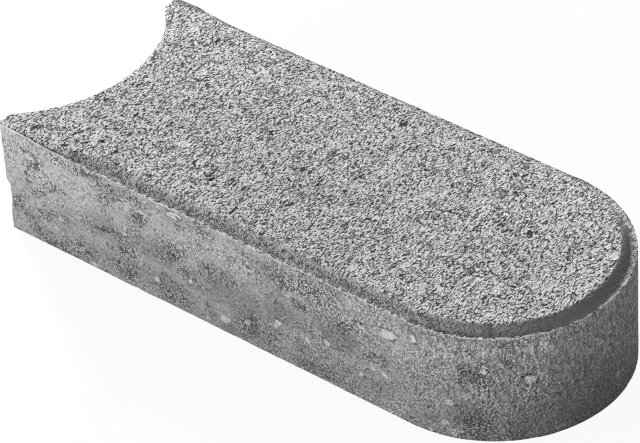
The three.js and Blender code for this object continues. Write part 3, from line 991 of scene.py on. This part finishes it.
low_grit = add_node(tree, "ShaderNodeMapRange", SMOOTH, {
    0: wall_grit, 1: LOW_GRIT, 2: LOW_GRIT - LOW_SOFT})
crumb_noise = add_node(tree, "ShaderNodeTexNoise", {}, {
    "Vector": slid, "Scale": 1 / CRUMB_MM, "Detail": 2.5, "Roughness": 0.65})
crumb_line = add_node(tree, "ShaderNodeMath", SUBTRACT, {0: crumb_noise, 1: NOISE_MIDDLE})
crumb_line = add_node(tree, "ShaderNodeMath", ABSOLUTE, {0: crumb_line})
crumbs = add_node(tree, "ShaderNodeMapRange", SMOOTH, {
    0: crumb_line, 1: CRUMB_WIDE, 2: CRUMB_CORE * CRUMB_WIDE})
crumb_zone = add_node(tree, "ShaderNodeMapRange", SMOOTH, {
    0: stain, 1: CRUMB_ZONE, 2: CRUMB_ZONE - ZONE_SOFT})
for share in (crumb_zone, low_grit):
    crumbs = add_node(tree, "ShaderNodeMath", MULTIPLY, {0: crumbs, 1: share})
crumbs = add_node(tree, "ShaderNodeMath", CLEAR_OF, {0: crumbs, 1: lee_mask})
smear = add_node(tree, "ShaderNodeMapRange", SMOOTH, {
    0: crumb_noise, 1: SMEAR_FROM, 2: SMEAR_FROM + ZONE_SOFT})
print("walls: pinholes, crumbs and smears,", len(tree.nodes), "nodes")

# %% [markdown]
# Here and there a piece of gravel of 3 to 4 mm shows through the skin, pale, with a darker ring of
# paste round it. Real pebbles could be scattered over the mesh, but they lie flush with the wall,
# so the middles of large bent cells do the same, and a wider spot round each gives the ring.

# %% Walls: gravel
GRAVEL_CELL_MM, GRAVEL_CHANCE = 8.0, 0.6
GRAVEL_BEND_MM, GRAVEL_BEND = 2.5, 2.5
RING_OUT, GRAVEL_OUT, GRAVEL_IN = 0.3, 0.24, 0.18      # shares of the cell

push = add_node(tree, "ShaderNodeTexNoise", {}, {
    "Vector": in_mm, "Scale": 1 / GRAVEL_BEND_MM, "Detail": 1.0}, output=1)
bent = add_node(tree, "ShaderNodeVectorMath", TIMES_PLUS, {0: push, 1: (GRAVEL_BEND,) * 3, 2: in_mm})
cells = add_node(tree, "ShaderNodeTexVoronoi", {}, {
    "Vector": bent, "Scale": 1 / GRAVEL_CELL_MM}, output=None).outputs
picked = add_node(tree, "ShaderNodeMath", ABOVE, {0: cells["Color"], 1: GRAVEL_CHANCE})
gravel = add_node(tree, "ShaderNodeMapRange", SMOOTH, {
    0: cells["Distance"], 1: GRAVEL_OUT, 2: GRAVEL_IN})
gravel_ring = add_node(tree, "ShaderNodeMapRange", SMOOTH, {
    0: cells["Distance"], 1: RING_OUT, 2: GRAVEL_OUT})
gravel, gravel_ring = (add_node(tree, "ShaderNodeMath", MULTIPLY, {0: spot, 1: picked})
                       for spot in (gravel, gravel_ring))
print("walls: gravel,", len(tree.nodes), "nodes")

# %% [markdown]
# The largest marks of the wall are light flakes, where the skin chipped off over a stone, and
# hollows that were torn out with the mould. There are only about thirty, and they are what makes
# one stone differ from the next, so they are listed in the same way as the gritty places.
# These are too small for the mesh's points, so each is an ellipse in the material: a Mapping node
# of type Texture moves, turns and scales space until the ellipse is a ball of radius 1, and the
# length of the vector is then the distance from it.

# %% Walls: flakes and hollows
FLAKES = [
    (18.8, 46, 4, 2.2, -45), (26.3, 38, 3, 1.5, 60), (74.6, 29, 1.4, 1.1, 0),
    (86.5, 46.2, 4.2, 1, 8), (107, 53.5, 4.2, 1.8, 0), (113.2, 19.6, 1.8, 1.4, 10),
    (181, 19, 2.6, 1.9, 20), (193, 22.8, 2.3, 1.7, -35), (225, 21, 1.9, 1, -15),
    (228, 44.6, 4.2, 2.5, 10), (213.5, 41.5, 3.2, 1.8, -10), (241.8, 49, 1.6, 2.2, 0),
    (234, 33, 1.2, 0.9, 0), (274, 39.5, 1.6, 2.6, 0), (293.5, 33, 2.4, 2.6, 20),
    (165, 21, 1.6, 1.9, 0)]
HOLLOWS = [
    (16, 48.5, 1, 3.6, 25), (22.5, 42.5, 1.8, 1.3, 0), (71, 46.5, 4.5, 0.9, 20),
    (83.5, 43, 3.8, 1.2, 25), (103.5, 31, 4.5, 1.6, 40), (111.5, 24, 2.6, 1.4, 20),
    (24, 19, 5, 1.2, 5), (3.6, 17, 4, 0.8, -62), (15, 13, 3, 1, 0), (212, 43.8, 2.8, 0.8, 20),
    (180, 36.5, 2.6, 2.2, 0), (292.5, 35.5, 3.8, 0.7, 20), (62, 26, 7.5, 1.2, 10),
    (148, 10, 3, 2.4, 0)]
PATCH_THICK = 8.0                    # half thickness of an ellipse, into the wall
TORN_MM, TORN_BEND = 3.2, 6.0
FLAKE_SOFT, HOLLOW_SOFT = 0.1, 0.3
FLAKE_EDGE_OUT, FLAKE_EDGE_IN, FLAKE_EDGE_SHARE = 1.6, 1.3, 0.6
LUMP_OFF, LUMP_ON = 0.55, 0.45       # the dark edge shows only on the low side of the lumps


def wall_place(distance, height):
    """The point of the wall that far from the front horn, and the wall's heading there."""
    turn = max(distance - straight, 0) / nose_radius
    x = -LENGTH / 2 + min(distance, straight) + nose_radius * math.sin(turn)
    return (x, -nose_radius * math.cos(turn), height), turn


def patch_distance(tree, position, patches):
    """Scaled distance from the nearest of the patches, each an ellipse on the wall: 0 at its
    middle and 1 on its outline."""
    nearest = FAR
    for distance, height, half_length, half_height, tilt in patches:
        middle, turn = wall_place(distance, height)
        local = add_node(tree, "ShaderNodeMapping", {"vector_type": "TEXTURE"}, {
            "Vector": position, "Location": middle, "Rotation": (0, -math.radians(tilt), turn),
            "Scale": (half_length, PATCH_THICK, half_height)})
        away = add_node(tree, "ShaderNodeVectorMath", REACH, {0: local}, output=1)
        nearest = add_node(tree, "ShaderNodeMath", SMALLER, {0: away, 1: nearest})
    return nearest


push = add_node(tree, "ShaderNodeTexNoise", {}, {
    "Vector": in_mm, "Scale": 1 / TORN_MM, "Detail": 3.0, "Roughness": 0.65}, output=1)
push = add_node(tree, "ShaderNodeVectorMath", SUBTRACT, {0: push, 1: (NOISE_MIDDLE,) * 3})
torn_place = add_node(tree, "ShaderNodeVectorMath", TIMES_PLUS, {
    0: push, 1: (TORN_BEND,) * 3, 2: in_mm})
flake_away = patch_distance(tree, torn_place, FLAKES)
flake = add_node(tree, "ShaderNodeMapRange", SMOOTH, {
    0: flake_away, 1: 1 + FLAKE_SOFT, 2: 1 - FLAKE_SOFT})
# The dark edge round a flake, only on the low side of the lumps, is painted shade of its step.
flake_edge_shade = add_node(tree, "ShaderNodeMapRange", SMOOTH, {
    0: flake_away, 1: FLAKE_EDGE_OUT, 2: FLAKE_EDGE_IN})
edge_some = add_node(tree, "ShaderNodeMapRange", SMOOTH, {
    0: wall_lumps, 1: LUMP_OFF, 2: LUMP_ON, 3: 0.0, 4: FLAKE_EDGE_SHARE})
flake_edge_shade = add_node(tree, "ShaderNodeMath", MULTIPLY, {0: flake_edge_shade, 1: edge_some})
hollow_away = patch_distance(tree, torn_place, HOLLOWS)
hollow = add_node(tree, "ShaderNodeMapRange", SMOOTH, {
    0: hollow_away, 1: 1 + HOLLOW_SOFT, 2: 1 - HOLLOW_SOFT})
print("walls: flakes and hollows,", len(tree.nodes), "nodes")

# %% [markdown]
# As on the top, every pattern gets a height in millimetres and all are added up into one bump. A
# bump node for each pattern, one behind the other, would look the same and render more slowly.
# The grit counts only as much as the zone is rough, which is what makes smooth and gritty skin.
# Flakes and gravel stand up, and crumbs, pinholes and torn places sink in.

# %% Walls: heights
WALL_GRIT_RISE, WALL_GRAIN_RISE, WALL_LUMP_RISE = 1.3, 1.2, 0.3
ROUGH_DEEP, CRUMB_DEEP, PIN_DEEP, TORN_DEEP = 0.3, 0.5, 0.5, 0.8
GRAVEL_RISE, FLAKE_RISE = 0.4, 0.5

torn = add_node(tree, "ShaderNodeMath", LARGER, {0: hollow, 1: gritty_mask})
torn = add_node(tree, "ShaderNodeMath", MULTIPLY, {0: torn, 1: low_grit})
torn = add_node(tree, "ShaderNodeMath", CLEAR_OF, {0: torn, 1: flake})
height = 0.0
for pattern, rise in ((wall_grit, WALL_GRIT_RISE), (wall_grain["Distance"], -WALL_GRAIN_RISE)):
    height = add_node(tree, "ShaderNodeMath", TIMES_PLUS, {0: pattern, 1: rise, 2: height})
height = add_node(tree, "ShaderNodeMath", MULTIPLY, {0: height, 1: rough_share})
for pattern, rise in ((wall_lumps, WALL_LUMP_RISE), (rough, -ROUGH_DEEP), (crumbs, -CRUMB_DEEP),
                      (gravel, GRAVEL_RISE), (flake, FLAKE_RISE), (torn, -TORN_DEEP),
                      (pinhole, -PIN_DEEP)):
    height = add_node(tree, "ShaderNodeMath", TIMES_PLUS, {0: pattern, 1: rise, 2: height})
bump = add_node(tree, "ShaderNodeBump", {}, {**BUMP, "Height": height})
print("walls: heights,", len(tree.nodes), "nodes")

# %% [markdown]
# The skin's colour is a cloud between two mid greys, and grit speckles it where it is rough. The
# speckle is painted darker where the grit is low and in the gaps between grains, as painted shade,
# and a few light grains are partly painted highlights. Each speckle could be a colour of its own,
# mixed over the cloud, but then dark clouds would lose their depth. So the patterns are shares that
# the cloud is multiplied by: above 1 they lighten it, below 1 they darken it. The wall is also
# painted lighter towards its top and darker at its foot, as painted light from above, and it is a
# little lighter towards the horn.

# %% Walls: colour of the skin
STAIN_DARK, STAIN_LIGHT = linear("#a0a0a0")[0], linear("#b5b5b5")[0]
# The low grit and the gaps between grains are painted darker as painted shade.
SPECK_LOW, SPECK_HIGH, SPECK_DARK, SPECK_LIGHT = 0.34, 0.66, 0.5, 1.4
WALL_GAP_LOW, WALL_GAP_HIGH, WALL_GAP_SHARE = 0.5, 0.85, 0.3
# A few grains are painted light, partly as painted highlights on the grit.
FLECK_LOW, FLECK_HIGH, FLECK_SHARE = 0.72, 0.95, 1.4       # a few grains are light
ROUGH_GAIN = 1.12
# Painted light from above: darker at the wall's foot, lighter at its top.
FOOT_SHARE, TOP_SHARE = 0.8, 1.2
HORN_SHARE, SIDE_SHARE = 1.15, 0.98
STAINED_SHARE = 0.7

skin = add_node(tree, "ShaderNodeMapRange", SMOOTH, {
    0: stain, 1: CLOUD_LOW, 2: CLOUD_HIGH, 3: STAIN_DARK, 4: STAIN_LIGHT})
grit_share = add_node(tree, "ShaderNodeMapRange", SMOOTH, {
    0: wall_grit, 1: SPECK_LOW, 2: SPECK_HIGH, 3: SPECK_DARK, 4: SPECK_LIGHT})
gap_share = add_node(tree, "ShaderNodeMapRange", SMOOTH, {
    0: wall_grain["Distance"], 1: WALL_GAP_LOW, 2: WALL_GAP_HIGH, 3: 1.0, 4: WALL_GAP_SHARE})
fleck_share = add_node(tree, "ShaderNodeMapRange", SMOOTH, {
    0: wall_grain["Color"], 1: FLECK_LOW, 2: FLECK_HIGH, 3: 1.0, 4: FLECK_SHARE})
speckle = ROUGH_GAIN
for share in (grit_share, gap_share, fleck_share):
    speckle = add_node(tree, "ShaderNodeMath", MULTIPLY, {0: share, 1: speckle})
speckle = add_node(tree, "ShaderNodeMix", FLOAT_MIX, {0: rough_share, 2: 1.0, 3: speckle})
top_light_paint = add_node(tree, "ShaderNodeMapRange", {}, {
    0: up_wall, 1: 0.0, 2: wall_top, 3: FOOT_SHARE, 4: TOP_SHARE})
pale_end = add_node(tree, "ShaderNodeMapRange", {}, {
    0: along_wall, 1: -LENGTH / 2, 2: SIDE_TO, 3: HORN_SHARE, 4: SIDE_SHARE})
# Not clamped, because stained is below 0 in the pale places.
stain_share = add_node(tree, "ShaderNodeMapRange", {"clamp": False}, {
    0: stained_mask, 3: 1.0, 4: STAINED_SHARE})
tone = skin
for share in (speckle, top_light_paint, pale_end, stain_share):
    tone = add_node(tree, "ShaderNodeMath", MULTIPLY, {0: tone, 1: share})
print("walls: colour of the skin,", len(tree.nodes), "nodes")

# %% [markdown]
# Round the nose the mould was drawn off upwards and left fine upright streaks. Their light and dark
# are painted into the colour, standing in for the light and shade a bump would give, which the dim
# light there hardly shows. On the nose's shaded side the wall is painted darker at its foot and
# lighter at its top, as painted shade. Streaks could be waves, but those would be evenly spaced. So
# they are noise in a space that is pressed together across them and drawn out upwards. A real
# streak is hair-thin, and these are 1.6 mm wide, again so that they show.

# %% Walls: streaks round the nose
STREAK_WIDE, STREAK_TALL = 1.6, 3.6
STREAK_LOW, STREAK_HIGH, STREAK_DARK, STREAK_LIGHT = 0.36, 0.66, 0.68, 1.5
STREAKS_FROM, STREAKS_TO = 70.0, 125.0                     # x where they set in, in mm
FOOT_END, FOOT_CLEAR, FOOT_STREAKS = 8.0, 34.0, 0.15       # few streaks at the foot
# On the nose's shaded side the foot is painted darker and the top lighter, as painted shade and light.
NOSE_LOW, NOSE_HIGH, NOSE_FOOT_SHARE, NOSE_TOP_SHARE = 4.0, 48.0, 0.84, 1.2

nose_shade_paint = add_node(tree, "ShaderNodeMapRange", SMOOTH, {
    0: up_wall, 1: NOSE_LOW, 2: NOSE_HIGH, 3: NOSE_FOOT_SHARE, 4: NOSE_TOP_SHARE})
nose_shade_paint = add_node(tree, "ShaderNodeMix", FLOAT_MIX, {0: lee_mask, 2: 1.0, 3: nose_shade_paint})
upright = add_node(tree, "ShaderNodeMapping", {}, {
    "Vector": in_mm, "Scale": (1 / STREAK_WIDE, 1 / STREAK_WIDE, 1 / STREAK_TALL)})
streaks = add_node(tree, "ShaderNodeTexNoise", {}, {
    "Vector": upright, "Scale": 1.0, "Detail": 2.0, "Roughness": 0.6})
streak_share = add_node(tree, "ShaderNodeMapRange", SMOOTH, {
    0: streaks, 1: STREAK_LOW, 2: STREAK_HIGH, 3: STREAK_DARK, 4: STREAK_LIGHT})
on_nose = add_node(tree, "ShaderNodeMapRange", SMOOTH, {0: along_wall, 1: STREAKS_FROM, 2: STREAKS_TO})
off_foot = add_node(tree, "ShaderNodeMapRange", SMOOTH, {
    0: up_wall, 1: FOOT_END, 2: FOOT_CLEAR, 3: FOOT_STREAKS, 4: 1.0})
streaked = add_node(tree, "ShaderNodeMath", MULTIPLY, {0: on_nose, 1: off_foot})
streak_share = add_node(tree, "ShaderNodeMix", FLOAT_MIX, {0: streaked, 2: 1.0, 3: streak_share})
for share in (nose_shade_paint, streak_share):
    tone = add_node(tree, "ShaderNodeMath", MULTIPLY, {0: tone, 1: share})
print("walls: streaks round the nose,", len(tree.nodes), "nodes")

# %% [markdown]
# Last come the marks: smears, flakes with a dark edge, torn places and hollows, pinholes, crumbs,
# gravel with its ring, and the pale burr at the very top. The dark of the flakes' edges, the torn
# places, hollows, pinholes, crumbs and pores is painted shade in them, and the burr's pale line is
# partly a painted highlight. Unlike the speckle each is given a colour of its own, so they are mixed
# over the skin, in the order in which they lie on it. Gritty places are not painted solid. They are
# kept only where the grit is low, so they stay a crowd of pores, and a few such pores lie everywhere.

# %% Walls: marks, burr and the finish
SMEAR_TONE, FLAKE_EDGE_SHADE_TONE, FLAKE_TONE, FLAKE_TONE_NOSE = (
    linear(grey)[0] for grey in ("#c3c3c3", "#616161", "#d4d4d4", "#fafafa"))
# Hollows, torn places, pinholes, crumbs and pores are painted dark as painted shade in them.
HOLLOW_TONE, PIN_TONE, CRUMB_TONE, RING_TONE, GRAVEL_TONE, WALL_RIM_HIGHLIGHT = (
    linear(grey)[0] for grey in ("#383838", "#7c7c7c", "#505050", "#9d9d9d", "#cacaca", "#ededed"))
FLAKE_SHARE, GRITTY_SHARE, HOLLOW_WHOLE = 0.85, 0.85, 0.25
PORES_SIDE, PORES_NOSE = 0.1, 0.26
FLAKE_NOSE_FROM, FLAKE_NOSE_TO = 60.0, 130.0       # x where flakes get lighter, in mm
WALL_RIM_MM, WALL_RIM_GAP, WALL_RIM_WHOLE, WALL_RIM_LEAST = 2.2, 0.44, 0.56, 0.1
WALL_RIM_FROM, WALL_RIM_TO = 0.6, 0.8              # of the burr's mask: a thin line of it
WALL_ROUGHNESS = 0.9

flake_some = add_node(tree, "ShaderNodeMath", MULTIPLY, {0: flake, 1: FLAKE_SHARE})
flake_tone = add_node(tree, "ShaderNodeMapRange", {}, {
    0: along_wall, 1: FLAKE_NOSE_FROM, 2: FLAKE_NOSE_TO, 3: FLAKE_TONE, 4: FLAKE_TONE_NOSE})
pores = add_node(tree, "ShaderNodeMath", MULTIPLY, {0: gritty_mask, 1: GRITTY_SHARE})
pores_least = add_node(tree, "ShaderNodeMapRange", SMOOTH, {
    0: along_wall, 1: SIDE_TO, 2: NOSE_FROM, 3: PORES_SIDE, 4: PORES_NOSE})
pores = add_node(tree, "ShaderNodeMath", LARGER, {0: pores, 1: pores_least})
pores = add_node(tree, "ShaderNodeMath", MULTIPLY, {0: pores, 1: low_grit})
hollow_open = add_node(tree, "ShaderNodeMapRange", {}, {0: low_grit, 3: HOLLOW_WHOLE, 4: 1.0})
dug = add_node(tree, "ShaderNodeMath", MULTIPLY, {0: hollow, 1: hollow_open})
dug = add_node(tree, "ShaderNodeMath", LARGER, {0: dug, 1: pores})
dug = add_node(tree, "ShaderNodeMath", MULTIPLY, {0: dug, 1: still})
dug = add_node(tree, "ShaderNodeMath", CLEAR_OF, {0: dug, 1: flake})

# The burr's line on the wall is a pale lip of paste, painted lighter still as a painted highlight,
# most round the nose.
rim_pieces = add_node(tree, "ShaderNodeTexNoise", {}, {
    "Vector": in_mm, "Scale": 1 / WALL_RIM_MM, "Detail": 2.0, "Roughness": 0.7})
rim_line = add_node(tree, "ShaderNodeMapRange", SMOOTH, {
    0: rim_mask, 1: WALL_RIM_FROM, 2: WALL_RIM_TO})
rim_some = add_node(tree, "ShaderNodeMapRange", SMOOTH, {
    0: rim_pieces, 1: WALL_RIM_GAP, 2: WALL_RIM_WHOLE, 3: WALL_RIM_LEAST, 4: 1.0})
rim_line = add_node(tree, "ShaderNodeMath", MULTIPLY, {0: rim_line, 1: rim_some})
rim_highlight = add_node(tree, "ShaderNodeMapRange", {}, {
    0: along_wall, 1: NOSE_RIM_FROM, 2: NOSE_RIM_TO, 3: WALL_RIM_HIGHLIGHT, 4: RIM_HIGHLIGHT_NOSE})
for mask, grey in ((smear, SMEAR_TONE), (flake_edge_shade, FLAKE_EDGE_SHADE_TONE), (flake_some, flake_tone),
                   (dug, HOLLOW_TONE), (pinhole, PIN_TONE), (crumbs, CRUMB_TONE),
                   (gravel_ring, RING_TONE), (gravel, GRAVEL_TONE), (rim_line, rim_highlight)):
    tone = add_node(tree, "ShaderNodeMix", FLOAT_MIX, {0: mask, 2: tone, 3: grey})

colour = add_node(tree, "ShaderNodeCombineColor", {}, {0: tone, 1: tone, 2: tone})
surface = add_node(tree, "ShaderNodeBsdfPrincipled", {}, {
    "Base Color": colour, "Roughness": WALL_ROUGHNESS, "Normal": bump, **CONCRETE})
add_node(tree, "ShaderNodeOutputMaterial", {}, {"Surface": surface}, output=None)
print("walls:", len(tree.nodes), "nodes")

# %% [markdown]
# The stone is one casting, so it stays one object, and each face says which of its two finishes
# it wears. A face belongs to the top if none of its points comes after the last ring of the top.
# The object then takes the imported node's place and rides on its body.

# %% Put the finishes on the stone
pressed_stone.data.materials.append(face)
pressed_stone.data.materials.append(walls)
face_slots = np.concatenate([
    (quads.max(axis=1) >= top_count).astype(np.int32), np.ones(len(triangles), np.int32)])
pressed_stone.data.polygons.foreach_set("material_index", face_slots)
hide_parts(STONE_NODE)
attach(pressed_stone, "root")
print("faces with the wall finish:", int(face_slots.sum()))

# %% [markdown]
# The floor is a sheet of white paper that the stone lies on. A white studio needs a background
# that is pure white to the eye, but a floor that bright would light the stone from below and wash
# out its shade. So the floor looks at what kind of ray asks: to the camera, and in reflections
# and through glass, it glows white, and to all other rays it is plain grey paper. It still keeps
# the stone's shadow, because a small part of what the camera sees is the lit paper.

# %% Floor
FLOOR_HALF = 4.0
GLOW_SHARE = 0.93
PAPER_GREY, PAPER_WHITE = linear("#b4b4b4"), linear("#ffffff")

floor_mesh = bpy.data.meshes.new("floor")
floor_corners = [(-FLOOR_HALF, -FLOOR_HALF, 0), (FLOOR_HALF, -FLOOR_HALF, 0),
                 (FLOOR_HALF, FLOOR_HALF, 0), (-FLOOR_HALF, FLOOR_HALF, 0)]
floor_mesh.from_pydata(floor_corners, [], [(0, 1, 2, 3)])
floor = bpy.data.objects.new("floor", floor_mesh)
bpy.context.scene.collection.objects.link(floor)

paper, tree = new_material("white_paper")
rays = add_node(tree, "ShaderNodeLightPath", output=None).outputs
seen = add_node(tree, "ShaderNodeMath", LARGER, {0: rays["Is Camera Ray"], 1: rays["Is Glossy Ray"]})
seen = add_node(tree, "ShaderNodeMath", LARGER, {0: seen, 1: rays["Is Transmission Ray"]})
paint_colour = add_node(tree, "ShaderNodeMix", {"data_type": "RGBA"}, {
    0: seen, 6: PAPER_GREY, 7: PAPER_WHITE}, output=2)
paint = add_node(tree, "ShaderNodeBsdfDiffuse", {}, {"Color": paint_colour})
glow = add_node(tree, "ShaderNodeEmission", {}, {"Color": PAPER_WHITE, "Strength": 1.0})
glow_share = add_node(tree, "ShaderNodeMath", MULTIPLY, {0: seen, 1: GLOW_SHARE})
both = add_node(tree, "ShaderNodeMixShader", {}, {0: glow_share, 1: paint, 2: glow})
add_node(tree, "ShaderNodeOutputMaterial", {}, {"Surface": both}, output=None)
floor.data.materials.append(paper)
print("floor:", 2 * FLOOR_HALF, "m square")

# %% [markdown]
# Rough concrete shows best in low light from the side, which draws a small shadow behind every
# grain. So the key is a softbox low behind the stone's left end, and a weak fill keeps the front
# wall readable. A sun lamp would do the same, but a softbox's edge is softer. The plain world
# fills what both leave dark. Lamp strength is given as how bright it makes a white surface that
# faces the lamp, where 1 is white, so that a lamp can be moved without changing the picture's
# brightness.

# %% Lights
KEY_ELEVATION = math.radians(23)
KEY_HEADING = (-0.888, 0.46)
KEY_DISTANCE, KEY_SIZE, KEY_STRENGTH = 4.0, 0.5, 1.4
FILL_FROM = (-0.20, -0.97, 0.10)
FILL_DISTANCE, FILL_SIZE, FILL_STRENGTH = 1.1, 0.5, 0.9


def add_softbox(name, direction, distance, size, strength):
    """A square area lamp that faces the stone from that direction. Its watts are the strength
    times the square of pi and the square of the distance."""
    lamp = bpy.data.lights.new(name, "AREA")
    lamp.size = size
    lamp.energy = strength * math.pi * distance**2 * math.pi
    made = bpy.data.objects.new(name, lamp)
    aim = Vector(direction).normalized()
    made.location = aim * distance
    made.rotation_mode = "QUATERNION"
    made.rotation_quaternion = aim.to_track_quat("Z", "Y")
    bpy.context.scene.collection.objects.link(made)
    print(f"{name}: {lamp.energy:.1f} W")


key_from = (KEY_HEADING[0] * math.cos(KEY_ELEVATION), KEY_HEADING[1] * math.cos(KEY_ELEVATION),
            math.sin(KEY_ELEVATION))
add_softbox("key_softbox", key_from, KEY_DISTANCE, KEY_SIZE, KEY_STRENGTH)
add_softbox("fill_softbox", FILL_FROM, FILL_DISTANCE, FILL_SIZE, FILL_STRENGTH)

# %% [markdown]
# The world is an even white that keeps the deepest shade off black. The view transform is
# Standard, because a filmic one would turn the white paper grey. The speckle of concrete is close
# in size to a pixel, and both denoising and a wide pixel filter would smear it, so the first is
# off and the second is narrower than usual.

# %% World and view
WORLD_STRENGTH = 0.28
PIXEL_FILTER = 1.15

world = bpy.data.worlds.new("studio")
world.use_nodes = True
background = world.node_tree.nodes["Background"].inputs
background["Color"].default_value = linear("#ffffff")
background["Strength"].default_value = WORLD_STRENGTH
bpy.context.scene.world = world
bpy.context.scene.view_settings.view_transform = "Standard"
bpy.context.scene.cycles.use_denoising = False
bpy.context.scene.cycles.filter_width = PIXEL_FILTER
print("world strength", WORLD_STRENGTH, "and pixel filter", PIXEL_FILTER)
